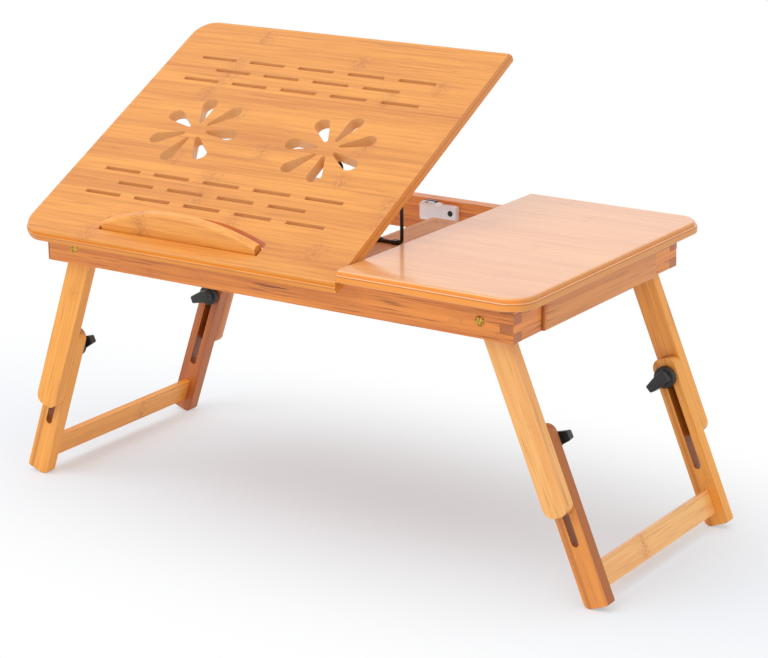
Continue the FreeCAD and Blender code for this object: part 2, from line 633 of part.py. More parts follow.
def pivot_screw(x, side):
    """A brass leg pivot: a domed head outside the rail and a shank that reaches into the nut."""
    shank_end = "UpperInY + NutLong / 2"
    if side == "-":
        shank = rod("PivotRadius", f"FrameY - ({shank_end})", (x, "-FrameY", "PivotZ"), "Y")
        head = cone("PivotCrown", "PivotHead", "PivotHeadHigh", (x, "-FrameY - PivotHeadHigh", "PivotZ"), "Y")
    else:
        shank = rod("PivotRadius", f"FrameY - ({shank_end})", (x, shank_end, "PivotZ"), "Y")
        head = cone("PivotHead", "PivotCrown", "PivotHeadHigh", (x, "FrameY", "PivotZ"), "Y")
    return fuse([shank, head])


def pivot_nut(x, side):
    """A round nut let into the inner face of an upper leg."""
    start = "-UpperInY - NutLong" if side == "-" else "UpperInY"
    return rod("NutRadius", "NutLong", (x, start, "PivotZ"), "Y")


def make_frame(frame_screws, catch_screw):
    """The rails, the end rail, the stubs beside the drawer, and what holds them and the legs."""
    pivots = ("LeftPivotX", "RightPivotX")
    screws = fuse([pivot_screw(x, side) for x in pivots for side in "-+"])
    nuts = fuse([pivot_nut(x, side) for x in pivots for side in "-+"])
    node("leg_pivot_screws", screws)
    node("leg_pivot_nuts", cut(nuts, [screws]))
    dowels = fuse([
        rod("DowelRadius", "DowelLong",
            (x, f"{side}(FrameY - RailThick / 2)", "TopZ + DowelIntoTop - DowelLong"))
        for x in ("SeamX + TopDowelFromSeam", "RailInX - TopDowelFromEnd") for side in "-+"])
    node("top_dowels", dowels)

    bevel = copy_at(
        block(("-FrameX", "0", "0"), ("FrameX", "2 * BevelWide", "2 * BevelHigh")),
        ("0", "-FrameY", "TopZ - BevelHigh"), (1, 0, 0), "atan(BevelHigh / BevelWide)")
    seats = []
    for start in HINGES:
        seats += hinge_seat(start, "HingeY", "TopZ - LeafThick", "TopZ")
    node("front_rail", cut(rail_blank("-"), [bevel, *seats, frame_screws, screws, dowels]))
    node("back_rail", cut(rail_blank("+"), [screws, dowels, catch_screw]))

    lap = block(("-FrameX", "-FrameY", "FrameZ"), ("-FrameX + LapThick", "FrameY", "TopZ"))
    end = block(("-FrameX", "-RailInY", "FrameZ"), ("-RailInX", "RailInY", "TopZ"))
    node("left_end_rail", cut(fuse([lap, end]), [bevel]))

    for name, side in (("right_front_stub", "-"), ("right_back_stub", "+")):
        near, far = "DrawerHalf + StubClear", "FrameY"
        low, high = (f"-{far}", f"-({near})") if side == "-" else (near, far)
        whole = block(("RailInX", low, "FrameZ"), ("FrameX", high, "TopZ"))
        gaps = []
        for finger in range(0, int(value("FingerCount")), 2):
            gap_low, gap_high = ("-FrameY", "-RailInY") if side == "-" else ("RailInY", "FrameY")
            gaps.append(block(("RailInX", gap_low, f"FrameZ + {finger} * RailHigh / FingerCount"),
                              ("FrameX", gap_high, f"FrameZ + {finger + 1} * RailHigh / FingerCount")))
        node(name, cut(whole, gaps + [bevel] if side == "-" else gaps))
    return dowels


def make_fixed_top(dowels):
    """The small fixed board over the drawer."""
    body = new_body("FixedBody")
    make_board(body, "SeamX", "TopLength / 2", "-TopDepth / 2", "TopDepth / 2", "TopZ", "TopThick")
    node("fixed_top", cut(body, [dowels]))


def make_drawer_bay():
    """The divider, and the two guides that carry the drawer."""
    node("divider", block(("DividerLeft", "-BayHalf", "FrameZ"), ("DividerRight", "BayHalf", "TopZ")))
    for name, side in (("drawer_guide_front", "-"), ("drawer_guide_back", "+")):
        parts = []
        for inner, top in (("BayHalf - GuideThick", "TopZ"),
                           ("BayHalf - GuideThick - GuideLip", "FrameZ + GuideShelf")):
            low, high = ("-BayHalf", f"-({inner})") if side == "-" else (inner, "BayHalf")
            parts.append(block(("DividerRight", low, "FrameZ"), ("DrawerBack - GuideGap", high, top)))
        node(name, fuse(parts))


def make_drawer():
    """The drawer: a proud front, two sides, a back, and a thin bottom held in grooves."""
    floor = "DrawerZ + DrawerBottomUp"
    side_in = "DrawerSideOut - DrawerSideThick"
    bottom = block(("DrawerBoxStart + DrawerSideThick - DrawerGroove", f"-({side_in}) - DrawerGroove", floor),
                   ("DrawerBack + DrawerGroove", f"{side_in} + DrawerGroove", f"{floor} + DrawerBottomThick"))
    node("drawer_bottom", bottom)
    body = new_body("DrawerFrontBody", ("DrawerBack", "-DrawerHalf", "FrameZ"))
    sketch = sketch_on(body, "XY_Plane")
    rectangle(sketch, "DrawerFrontThick", "2 * DrawerHalf")
    pad(body, sketch, "RailHigh - DrawerFrontGap")
    face = value("DrawerFrontThick")
    round_edges(body, "DrawerRound", lambda edge: abs(edge.BoundBox.XMin - face) < CLOSE)
    node("drawer_front", cut(body, [bottom]))
    top = "DrawerZ + DrawerSideHigh"
    for name, side in (("drawer_front_side", "-"), ("drawer_back_side", "+")):
        low, high = ("-DrawerSideOut", f"-({side_in})") if side == "-" else (side_in, "DrawerSideOut")
        wall = block(("DrawerBoxStart", low, "DrawerZ"), ("DrawerBack", high, top))
        node(name, cut(wall, [bottom]))
    back = block(("DrawerBoxStart", f"-({side_in})", "DrawerZ"),
                 ("DrawerBoxStart + DrawerSideThick", side_in, top))
    node("drawer_back", cut(back, [bottom]))


def wire_frame(body):
    """The bent wire: two uprights, a bar between their lower ends and a foot turned out at each top."""
    sketch = sketch_on(body, "XZ_Plane")
    half, high, foot, bend = (value("PropSpan") / 2, value("PropHigh"), value("PropFoot"), value("WireBend"))
    up = FreeCAD.Vector(0, 0, 1)
    quarter = math.pi / 2

    def arc(x, y, start, end):
        ring = Part.Circle(FreeCAD.Vector(x, y, 0), up, bend)
        return sketch.addGeometry(Part.ArcOfCircle(ring, start, end), False)

    right_foot = line(sketch, (half + foot, high), (half + bend, high))
    right_top = arc(half + bend, high - bend, quarter, 2 * quarter)
    right_leg = line(sketch, (half, high - bend), (half, bend))
    right_low = arc(half - bend, bend, -quarter, 0)
    bar = line(sketch, (half - bend, 0), (bend - half, 0))
    left_low = arc(bend - half, bend, 2 * quarter, 3 * quarter)
    left_leg = line(sketch, (-half, bend), (-half, high - bend))
    left_top = arc(-half - bend, high - bend, 0, quarter)
    left_foot = line(sketch, (-half - bend, high), (-half - foot, high))
    for joint in ((right_foot, 2, right_top, 1), (right_top, 2, right_leg, 1), (right_leg, 2, right_low, 2),
                  (right_low, 1, bar, 1), (bar, 2, left_low, 2), (left_low, 1, left_leg, 1),
                  (left_leg, 2, left_top, 1), (left_top, 2, left_foot, 1)):
        sketch.addConstraint(Sketcher.Constraint("Tangent", *joint))
    for side in (right_foot, bar, left_foot):
        sketch.addConstraint(Sketcher.Constraint("Horizontal", side))
    sketch.addConstraint(Sketcher.Constraint("PointOnObject", bar, 1, X_AXIS))
    sketch.addConstraint(Sketcher.Constraint("Vertical", right_leg))
    sketch.addConstraint(Sketcher.Constraint("Vertical", left_leg))
    for bend_arc in (right_top, right_low, left_low, left_top):
        bind(sketch, "Radius", bend_arc, to="WireBend")
    bind(sketch, "DistanceX", ORIGIN, 1, right_leg, 1, to="PropSpan / 2")
    bind(sketch, "DistanceX", left_leg, 1, ORIGIN, 1, to="PropSpan / 2")
    bind(sketch, "DistanceX", right_leg, 1, right_foot, 1, to="PropFoot")
    bind(sketch, "DistanceX", left_foot, 2, left_leg, 1, to="PropFoot")
    bind(sketch, "DistanceY", ORIGIN, 1, right_foot, 1, to="PropHigh")
    bind(sketch, "DistanceY", ORIGIN, 1, left_foot, 2, to="PropHigh")
    return sketch


def wedge(start, long, near, deep, top, near_high, far_high):
    """A block under a height whose underside slopes, from its near side to its far side."""
    item = doc.addObject("Part::Wedge", "Wedge")
    texts = {"Xmin": start, "Xmax": f"{start} + {long}", "X2min": start, "X2max": f"{start} + {long}",
             "Ymin": near, "Ymax": f"{near} + {deep}",
             "Zmin": f"{top} - {near_high}", "Zmax": top, "Z2min": f"{top} - {far_high}", "Z2max": top}
    for key, text in texts.items():
        item.setExpression(key, formula(text))
    return item


def make_prop():
    """The wire prop, the board that it stands on, and the saddle clips that hold its bar."""
    body = new_body("PropBody", ("PropX - PropSpan / 2", "-PropY", "PropZ"))
    path = wire_frame(body)
    profile = sketch_on(body, "YZ_Plane", ("0", "PropHigh", "PropSpan / 2 + PropFoot"))
    circle(profile, "WireRadius")
    doc.recompute()
    pipe = body.newObject("PartDesign::AdditivePipe", "Wire")
    pipe.Profile = profile
    pipe.Spine = (path, [f"Edge{i}" for i in range(1, 10)])
    doc.recompute()
    node("prop_wire", body)

    board = block(("BoardLeft", "-BayHalf", "BoardTop - BoardThick"),
                  ("DividerLeft", "BayHalf", "BoardTop"))
    clips, screws = [], []
    last = "PropX - WireBend - ClipLong"
    for start in ("BoardLeft + WireBend", last):
        saddle = block((start, "-PropY - ClipWide / 2", "BoardTop"),
                       (f"{start} + ClipLong", "-PropY + ClipWide / 2", "BoardTop + ClipHigh"))
        tab = block((start, "-PropY + ClipWide / 2", "BoardTop"),
                    (f"{start} + ClipLong", "-PropY + ClipWide / 2 + ClipTab", "BoardTop + ClipTabThick"))
        bore = rod("WireRadius + RunningFit", "ClipLong", (start, "-PropY", "PropZ"), "X")
        slot = block((start, "-PropY - WireRadius - RunningFit", "BoardTop"),
                     (f"{start} + ClipLong", "-PropY + WireRadius + RunningFit", "PropZ"))
        middle = (f"{start} + ClipLong / 2", "-PropY + ClipWide / 2 + ClipTab / 2")
        shank = rod("ClipScrewRadius", "ClipScrewLong + ClipTabThick", (*middle, "BoardTop - ClipScrewLong"))
        head_at = (*middle, "BoardTop + ClipTabThick")
        head = cone("ClipScrewHead", "ClipScrewCrown", "ClipScrewHeadHigh", head_at)
        clips.append(cut(fuse([saddle, tab]), [bore, slot, shank]))
        screws.append(fuse([shank, head]))
    node("prop_clips", fuse(clips))
    clip_screws = node("prop_clip_screws", fuse(screws))
    node("prop_board", cut(board, [clip_screws]))

    far = "PropReach - WireRadius - CleatGap"
    starts = ("PropX + PropFoot - CleatLong", "PropX - PropSpan - PropFoot")
    cleats = [block((start, f"{far} - CleatWide", "SeatGap / 2 - CleatHigh"),
                    (f"{start} + CleatLong", far, "SeatGap / 2")) for start in starts]
    pads = [wedge(start, "CleatLong", far, "PadLong", "SeatGap / 2", "PadHigh", "PadEndHigh")
            for start in starts]
    node("prop_cleats", on_board(fuse([fuse(pair) for pair in zip(cleats, pads)])))


def make_catch():
    """The magnetic catch on the back rail and, on the board, the plate that it holds."""
    front = "RailInY - CatchDeep"
    right = "-CatchLeft + CatchLong"
    case = block(("-CatchLeft", front, "CatchTop - CatchHigh"), (right, "RailInY", "CatchTop"))
    tab_z = "CatchTop - CatchHigh / 2 - CatchTabHigh / 2"
    tab = block((right, "RailInY - CatchTabDeep", tab_z),
                (f"{right} + CatchTab", "RailInY", f"{tab_z} + CatchTabHigh"))
    middle = "RailInY - CatchDeep / 2"
    magnet_y = "MagnetThick / 2"
    magnet = block(("CatchMiddle - MagnetLong / 2", f"{middle} - {magnet_y}", "CatchTop - MagnetHigh"),
                   ("CatchMiddle + MagnetLong / 2", f"{middle} + {magnet_y}", "CatchTop"))
    plates = fuse([
        block(("CatchMiddle - MagnetLong / 2", f"{middle} {low}", "CatchTop - MagnetHigh"),
              ("CatchMiddle + MagnetLong / 2", f"{middle} {high}", "CatchTop + PoleUp"))
        for low, high in ((f"- {magnet_y} - PoleThick", f"- {magnet_y}"),
                          (f"+ {magnet_y}", f"+ {magnet_y} + PoleThick"))])
    screw_at = (f"{right} + CatchScrewFrom", "CatchTop - CatchHigh / 2")
    tab_face = "RailInY - CatchTabDeep"
    head_face = f"{tab_face} - CatchScrewHeadHigh"
    head = rod("CatchScrewHead", "CatchScrewHeadHigh", (screw_at[0], head_face, screw_at[1]), "Y")
    shank = rod("CatchScrewRadius", "CatchTabDeep + ScrewLong", (screw_at[0], tab_face, screw_at[1]), "Y")
    screw = node("catch_screw", fuse([head, shank]))
    node("catch_magnet", magnet)
    node("catch_pole_plates", plates)
    node("catch_body", cut(fuse([case, tab]), [magnet, plates, screw]))

    strike_y = f"{middle} - HingeY"
    plate = block(("CatchMiddle - StrikeLong / 2", f"{strike_y} - StrikeWide / 2", "SeatGap / 2"),
                  ("CatchMiddle + StrikeLong / 2", f"{strike_y} + StrikeWide / 2",
                   "SeatGap / 2 + StrikeThick"))
    screws = fuse([
        flat_screw((f"CatchMiddle {side} (StrikeLong / 2 - StrikeScrewIn)", strike_y, "SeatGap / 2"), True)
        for side in "-+"])
    node("strike_plate", on_board(cut(plate, [screws])))
    node("strike_screws", on_board(screws))
    return screw, plate, screws


LEG_SIDES = {
    "left": {"pivot": "LeftPivotX", "angle": "SplayLeft", "foot": "LeftFoot", "inner": 1,
             "knob": "KnobTurnLeft", "clamp": ("LeftClampX", "LeftClampZ")},
    "right": {"pivot": "RightPivotX", "angle": "-SplayRight", "foot": "RightFoot", "inner": -1,
              "knob": "KnobTurnRight", "clamp": ("RightClampX", "RightClampZ")},
}


def leg_body(name, side, outer):
    """An empty leg body: its origin is the pivot, in the leg's outer face, and the leg runs down."""
    return new_body(name, (side["pivot"], f"-{outer}", "PivotZ"), (0, 1, 0), side["angle"])


def corners_at(z, sides=(-1, 1)):
    """A test for the edges across a leg at one of its ends, on one or both of its sides."""
    return lambda edge: (runs_along(edge, (0, 1, 0)) and abs(edge.Vertexes[0].Z - z) < CLOSE
                         and math.copysign(1, edge.Vertexes[0].X) in sides)


def make_upper_legs(label, side):
    """A pair of upper legs, rounded at the pivot, and the inserts for their clamps."""
    body = leg_body(label + "UpperBody", side, "UpperOutY")
    shaft = sketch_on(body, "XZ_Plane", ("-LegWide / 2", "-UpperLeg", "0"))
    rectangle(shaft, "LegWide", "UpperLeg")
    pad(body, shaft, "LegThick", back=True)
    crown = sketch_on(body, "XZ_Plane")
    circle(crown, "LegWide / 2")
    pad(body, crown, "LegThick", back=True)
    round_edges(body, "LegRound", corners_at(-value("UpperLeg")))
    bore = rod("PivotRadius + RunningFit", "LegThick", (side["pivot"], "-UpperOutY", "PivotZ"), "Y")
    seat = rod("NutRadius + RunningFit", "NutLong + RunningFit",
               (side["pivot"], "-UpperInY - NutLong - RunningFit", "PivotZ"), "Y")
    x, z = side["clamp"]
    hole = rod("InsertRadius", "InsertLong", (x, "-UpperInY - InsertLong", z), "Y")
    front = cut(body, [bore, seat, hole])
    node(f"{label}_front_upper_leg", front)
    node(f"{label}_back_upper_leg", mirror_back(front))
    insert = cut(hole, [rod("StudRadius + RunningFit", "InsertLong", (x, "-UpperInY - InsertLong", z), "Y")])
    node(f"{label}_clamp_inserts", fuse([insert, mirror_back(insert)]))


def make_lower_legs(label, side):
    """A pair of slotted lower legs with a stretcher dowelled between them."""
    foot = side["foot"]
    body = leg_body(label + "LowerBody", side, "LowerOutY")
    shaft = sketch_on(body, "XZ_Plane", ("-LegWide / 2", f"-{foot}", "0"))
    rectangle(shaft, "LegWide", "LowerLeg")
    pad(body, shaft, "LegThick", back=True)
    foot_z = -value(foot)
    round_edges(body, "LegRound", corners_at(foot_z + value("LowerLeg")))
    round_edges(body, "FootRound", corners_at(foot_z, (side["inner"],)))
    round_edges(body, "FootEdge", corners_at(foot_z, (-side["inner"],)))
    low = f"-{foot} + SlotBottom + SlotWide / 2"
    high = f"-{foot} + LowerLeg - SlotTop - SlotWide / 2"
    middle = sketch_on(body, "XZ_Plane", ("-SlotWide / 2", low, "0"))
    rectangle(middle, "SlotWide", f"({high}) - ({low})")
    pocket(body, middle)
    for end in (low, high):
        round_end = sketch_on(body, "XZ_Plane", ("0", end, "0"))
        circle(round_end, "SlotWide / 2")
        pocket(body, round_end)

    rail_low = f"-{foot} + StretcherUp"
    rail = block(("-StretcherThick / 2", "-LowerInY", rail_low),
                 ("StretcherThick / 2", "LowerInY", f"{rail_low} + StretcherHigh"))
    dowels = fuse([
        rod("StretcherPin", "DowelLong", ("0", start, f"{rail_low} + {up}"), "Y")
        for start in ("-LowerInY - DowelIntoLeg", "LowerInY + DowelIntoLeg - DowelLong")
        for up in ("DowelEdge", "StretcherHigh - DowelEdge")])
    place = ((side["pivot"], "0", "PivotZ"), (0, 1, 0), side["angle"])
    node(f"{label}_stretcher", copy_at(cut(rail, [dowels]), *place))
    placed_dowels = node(f"{label}_stretcher_dowels", copy_at(dowels, *place))
    front = cut(body, [placed_dowels])
    node(f"{label}_front_lower_leg", front)
    node(f"{label}_back_lower_leg", mirror_back(front))


def make_clamps(label, side):
    """The clamps of a pair of legs: a winged knob on a stud, and a washer, on each."""
    x, z = side["clamp"]
    knobs = []
    for turn in ("KnobTurnFront", side["knob"]):
        body = new_body(label + turn, (x, "-KnobY - KnobLong", z), (0, 1, 0), turn)
        disc = sketch_on(body, "XZ_Plane")
        circle(disc, "KnobRadius")
        pad(body, disc, "KnobDisc", back=True)
        wing = sketch_on(body, "XZ_Plane", ("0", "0", "-KnobDisc"))
        teardrop(wing, "-WingBack", "WingRoot / 2", "WingReach", "WingTip / 2")
        pad(body, wing, "KnobLong - KnobDisc", back=True)
        knobs.append(body)
    stud = rod("StudRadius", "UpperInY + InsertLong - KnobY - KnobLong + StudInKnob",
               (x, "-UpperInY - InsertLong", z), "Y")
    washer = cut(rod("WasherRadius", "WasherThick", (x, "-WasherY - WasherThick", z), "Y"),
                 [rod("StudRadius + RunningFit", "WasherThick", (x, "-WasherY - WasherThick", z), "Y")])
    front_knob, back_knob = [cut(knob, [stud]) for knob in knobs]
    node(f"{label}_front_clamp_knob", front_knob)
    node(f"{label}_back_clamp_knob", mirror_back(back_knob))
    node(f"{label}_front_clamp_stud", stud)
    node(f"{label}_back_clamp_stud", mirror_back(stud))
    node(f"{label}_clamp_washers", fuse([washer, mirror_back(washer)]))


hinge_frame_screws, hinge_board_screws = make_hinges()
catch_screw, strike_plate, strike_plate_screws = make_catch()
top_dowels = make_frame(hinge_frame_screws, catch_screw)
make_fixed_top(top_dowels)
make_tilt_panel(hinge_board_screws, strike_plate, strike_plate_screws)
make_book_stop()
make_drawer_bay()
make_drawer()
make_prop()
for leg_label, leg_side in LEG_SIDES.items():
    make_upper_legs(leg_label, leg_side)
    make_lower_legs(leg_label, leg_side)
    make_clamps(leg_label, leg_side)

doc.recompute()
for item in doc.Objects:
    if "Invalid" in item.State or "Error" in item.State:
        raise RuntimeError(f"{item.Label} failed: {item.State}")
os.makedirs("parts", exist_ok=True)
for name, item in nodes.items():
    if item.Shape.isNull() or not item.Shape.isValid():
        raise RuntimeError(f"{name} has no valid shape")
    item.Shape.exportStep(f"parts/{name}.step")
for alias in PLACES:
    print(alias, round(value(alias), 4))
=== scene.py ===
import math

import bmesh
import bpy
from mathutils import Euler, Matrix, Vector


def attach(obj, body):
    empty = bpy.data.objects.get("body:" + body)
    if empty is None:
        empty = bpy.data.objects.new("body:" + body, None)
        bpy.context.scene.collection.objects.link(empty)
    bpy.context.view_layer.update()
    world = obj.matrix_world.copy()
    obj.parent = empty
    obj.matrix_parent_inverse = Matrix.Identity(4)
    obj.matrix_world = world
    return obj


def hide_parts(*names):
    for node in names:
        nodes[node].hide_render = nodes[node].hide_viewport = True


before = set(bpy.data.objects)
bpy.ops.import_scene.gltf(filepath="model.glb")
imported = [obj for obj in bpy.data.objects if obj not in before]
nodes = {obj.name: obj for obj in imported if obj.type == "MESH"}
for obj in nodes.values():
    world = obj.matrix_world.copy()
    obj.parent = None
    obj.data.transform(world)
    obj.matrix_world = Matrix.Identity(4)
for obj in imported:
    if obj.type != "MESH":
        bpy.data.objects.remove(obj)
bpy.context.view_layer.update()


# ---- Studio: floor, light and camera -------------------------------------
# A plain pale floor and a white room. The room lights the stand softly from
# all round, and one wide lamp from the front left gives the soft shadow.

FLOOR_HALF = 30.0
FLOOR_NEAR = (0.80, 0.86, 0.93, 1)
FLOOR_FAR = (0.82, 0.88, 0.94, 1)
FLOOR_ROUGH, FLOOR_SHEEN = 0.9, 0.1
CLOUD_SCALE = 0.6
SHADE_HALF_X, SHADE_HALF_Y, SHADE_BACK = 0.70, 0.24, -0.01
WHITE_FROM = 0.0
WHITE_BY = 1.35
WHITE = (1, 1, 1, 1)
ROOM_LIGHT = 0.86
LAMP_PLACE = (-0.8, -1.7, 2.5)
LAMP_SIZE = 2.2
LAMP_POWER = 28

VIEW_TURN = math.radians(34.268)
VIEW_RISE = math.radians(16.902)
VIEW_ROLL = math.radians(-0.627)
VIEW_AWAY = 2.0152
VIEW_AIM = Vector((0.018241, 0, 0.155901))
LENS_LONG = 111.32
NEAR_CLIP = 0.05


def put(tree, kind, **settings):
    """A new node in a tree, with its settings and its plain input values."""
    node = tree.nodes.new(kind)
    for key, setting in settings.items():
        if key == "inputs":
            for socket, number in setting.items():
                node.inputs[socket].default_value = number
        else:
            setattr(node, key, setting)
    return node


def join(tree, *pairs):
    """Links given as (from socket, to socket)."""
    for start, end in pairs:
        tree.links.new(start, end)


def fresh_material(name):
    """A material with only an output, and its node tree."""
    material = bpy.data.materials.new(name)
    material.use_nodes = True
    tree = material.node_tree
    tree.nodes.clear()
    return material, tree, put(tree, "ShaderNodeOutputMaterial")


def sums(tree, operation, first, second=None, clamp=False):
    """A Math node on one or two sockets or numbers; gives its output."""
    node = put(tree, "ShaderNodeMath", operation=operation, use_clamp=clamp)
    for slot, given in enumerate((first, second)):
        if isinstance(given, (int, float)):
            node.inputs[slot].default_value = given
        elif given is not None:
            tree.links.new(given, node.inputs[slot])
    return node.outputs[0]


def ramped(tree, value, low, high):
    """A smooth step of a socket, from 0 at low to 1 at high."""
    node = put(tree, "ShaderNodeMapRange", interpolation_type="SMOOTHSTEP",
               inputs={"From Min": low, "From Max": high})
    tree.links.new(value, node.inputs["Value"])
    return node.outputs["Result"]


def blend_colours(tree, factor, first, second):
    """A colour mix; each colour is a socket or a written colour."""
    node = put(tree, "ShaderNodeMix", data_type="RGBA")
    tree.links.new(factor, node.inputs["Factor"])
    for label, given in (("A", first), ("B", second)):
        socket = next(s for s in node.inputs if s.name == label and s.type == "RGBA")
        if isinstance(given, tuple):
            socket.default_value = given
        else:
            tree.links.new(given, socket)
    return next(s for s in node.outputs if s.type == "RGBA")


def seen_directly(tree):
    """1 for what the camera sees, straight, mirrored or through glass, and 0 for what only lights the stand."""
    path = put(tree, "ShaderNodeLightPath")
    seen = sums(tree, "MAXIMUM", path.outputs["Is Camera Ray"], path.outputs["Is Glossy Ray"])
    return sums(tree, "MAXIMUM", seen, path.outputs["Is Transmission Ray"])


floor_mesh = bmesh.new()
bmesh.ops.create_grid(floor_mesh, x_segments=1, y_segments=1, size=FLOOR_HALF)
floor_data = bpy.data.meshes.new("floor")
floor_mesh.to_mesh(floor_data)
floor_mesh.free()
floor = bpy.data.objects.new("floor", floor_data)
bpy.context.scene.collection.objects.link(floor)

# The floor keeps its shade under the stand and fades to plain white away from it.
floor_look, tree, out = fresh_material("pale_floor")
shade = put(tree, "ShaderNodeBsdfPrincipled", inputs={"Roughness": FLOOR_ROUGH, "Specular IOR Level": FLOOR_SHEEN})
white = put(tree, "ShaderNodeEmission", inputs={"Color": WHITE})
either = put(tree, "ShaderNodeMixShader")
where = put(tree, "ShaderNodeTexCoord").outputs["Object"]
cloud = put(tree, "ShaderNodeTexNoise", inputs={"Scale": CLOUD_SCALE, "Detail": 1.0})
under = put(tree, "ShaderNodeMapping", inputs={
    "Location": (0, -SHADE_BACK / SHADE_HALF_Y, 0), "Scale": (1 / SHADE_HALF_X, 1 / SHADE_HALF_Y, 1)})
away = put(tree, "ShaderNodeVectorMath", operation="LENGTH")
join(tree, (where, cloud.inputs["Vector"]), (where, under.inputs["Vector"]),
     (under.outputs["Vector"], away.inputs[0]))
fade = ramped(tree, away.outputs["Value"], WHITE_FROM, WHITE_BY)
join(tree, (blend_colours(tree, cloud.outputs["Fac"], FLOOR_NEAR, FLOOR_FAR), shade.inputs["Base Color"]),
     (sums(tree, "MULTIPLY", fade, seen_directly(tree)), either.inputs[0]),
     (shade.outputs["BSDF"], either.inputs[1]), (white.outputs["Emission"], either.inputs[2]),
     (either.outputs["Shader"], out.inputs["Surface"]))
floor_data.materials.append(floor_look)

world = bpy.data.worlds.new("white_room")
bpy.context.scene.world = world
world.use_nodes = True
tree = world.node_tree
tree.nodes.clear()
out = put(tree, "ShaderNodeOutputWorld")
light = put(tree, "ShaderNodeBackground", inputs={"Color": WHITE})
level = put(tree, "ShaderNodeMapRange", inputs={"To Min": ROOM_LIGHT, "To Max": 1.0})
join(tree, (seen_directly(tree), level.inputs["Value"]), (level.outputs["Result"], light.inputs["Strength"]),
     (light.outputs["Background"], out.inputs["Surface"]))

lamp_data = bpy.data.lights.new("soft_lamp", "AREA")
lamp_data.size = LAMP_SIZE
lamp_data.energy = LAMP_POWER
lamp = bpy.data.objects.new("soft_lamp", lamp_data)
bpy.context.scene.collection.objects.link(lamp)
lamp.location = LAMP_PLACE
lamp.rotation_euler = (VIEW_AIM - Vector(LAMP_PLACE)).to_track_quat("-Z", "Y").to_euler()

back = Vector((math.sin(VIEW_TURN) * math.cos(VIEW_RISE), -math.cos(VIEW_TURN) * math.cos(VIEW_RISE),
               math.sin(VIEW_RISE)))
level_right = (-back).cross(Vector((0, 0, 1))).normalized()
level_up = level_right.cross(-back)
right = level_right * math.cos(VIEW_ROLL) + level_up * math.sin(VIEW_ROLL)
up = level_up * math.cos(VIEW_ROLL) - level_right * math.sin(VIEW_ROLL)
camera_data = bpy.data.cameras.new("camera")
camera_data.lens = LENS_LONG
camera_data.clip_start = NEAR_CLIP
camera = bpy.data.objects.new("camera", camera_data)
bpy.context.scene.collection.objects.link(camera)
stance = Matrix((right, up, back)).transposed().to_4x4()
camera.matrix_world = Matrix.Translation(VIEW_AIM + back * VIEW_AWAY) @ stance
bpy.context.scene.camera = camera
bpy.context.scene.view_settings.view_transform = "Standard"


# ---- Frame: rails, end stubs, divider and drawer guides ------------------
# Solid bamboo bars, glued up from strips, oiled to a red-brown. The long
# rails and the end pieces are finger jointed at the right-hand corners.

MM = 0.001
ALONG_X = (0, 0, 0)
ALONG_Y = (0, 0, -math.pi / 2)
FIBRE_DRAWN, BAND_DRAWN, VEIN_DRAWN = (14, 800, 800), (7, 260, 260), (17, 560, 560)
FLAME_DRAWN, WANDER_DRAWN, SPECK_DRAWN = (3, 30, 30), (120, 200, 200), (430, 760, 760)
STRIPS_APART, MIDDLE = 7.0, 0.5
FIBRE_RANGE, BAND_RANGE, FLAME_RANGE, VEIN_RANGE = (0.3, 0.7), (0.35, 0.70), (0.4, 0.72), (0.56, 0.74)
TONE_SHARE, TONE_DROP = 0.34, 0.12
LEAST_SPACING, SPACING_LUCK, START_LUCK = 0.7, 0.7, 9.0
KNUCKLE_REACH, KNUCKLE_LINE, KNUCKLE_WANDER = (0.014, 0.003), (0.0018, 0.0004), 0.016
PATCH_SHOWS, LINE_SHOWS, SEAM_SHOWS = 0.34, 0.22, 0.30
SPECK_SIZE, PALE_SPECKS, DARK_SPECKS = (0.62, 0.30), (0.62, 0.8), (0.45, 0.25)
PALE_SHOWS, DARK_SHOWS, PALE_SPECK = 0.42, 0.5, (255, 206, 130)
SEAM_EDGE, PATCH_EDGE = (0.480, 0.499), (0.5, 0.36)
GLUE_EDGE, GLUE_SHOWS, GLUE_ON_CUTS = (1.5, 0.7), 0.5, 0.6
SAWN_FACING, SAWN_TONE, CUT_FACING, CUT_SHOWS = (0.62, 0.30), 0.5, (0.60, 0.92), 0.85
VENT_EDGE = (1.001, 1.0)
PORE_SCALE, PORE_SIZE, PORE_SHOWS = 900.0, (0.5, 0.2), 0.35
ROUGHER_FIBRES, FIBRE_RISE, SEAM_SINK = 0.12, 0.6, 0.5


def srgb(red, green, blue):
    """A colour given in 0-255 steps, as the linear values that a shader takes."""
    parts = [c / 255 for c in (red, green, blue)]
    return tuple(c / 12.92 if c <= 0.04045 else ((c + 0.055) / 1.055) ** 2.4 for c in parts) + (1,)


def new_group(name, masks=(), numbers=(), colours=(), vectors=()):
    """An empty shader group that puts out a colour, a roughness, a height and any masks named."""
    group = bpy.data.node_groups.new(name, "ShaderNodeTree")
    for kind, sockets in (("NodeSocketVector", vectors), ("NodeSocketColor", colours), ("NodeSocketFloat", numbers)):
        for label, start in sockets:
            group.interface.new_socket(label, in_out="INPUT", socket_type=kind).default_value = start
    group.interface.new_socket("Color", in_out="OUTPUT", socket_type="NodeSocketColor")
    for label in ("Roughness", "Height", *masks):
        group.interface.new_socket(label, in_out="OUTPUT", socket_type="NodeSocketFloat")
    return group, put(group, "NodeGroupInput"), put(group, "NodeGroupOutput")


def choose(tree, factor, first, second):
    """A number mixed from two sockets by a third; gives its output."""
    node = put(tree, "ShaderNodeMix", data_type="FLOAT")
    join(tree, (factor, node.inputs["Factor"]), (first, node.inputs["A"]), (second, node.inputs["B"]))
    return node.outputs["Result"]


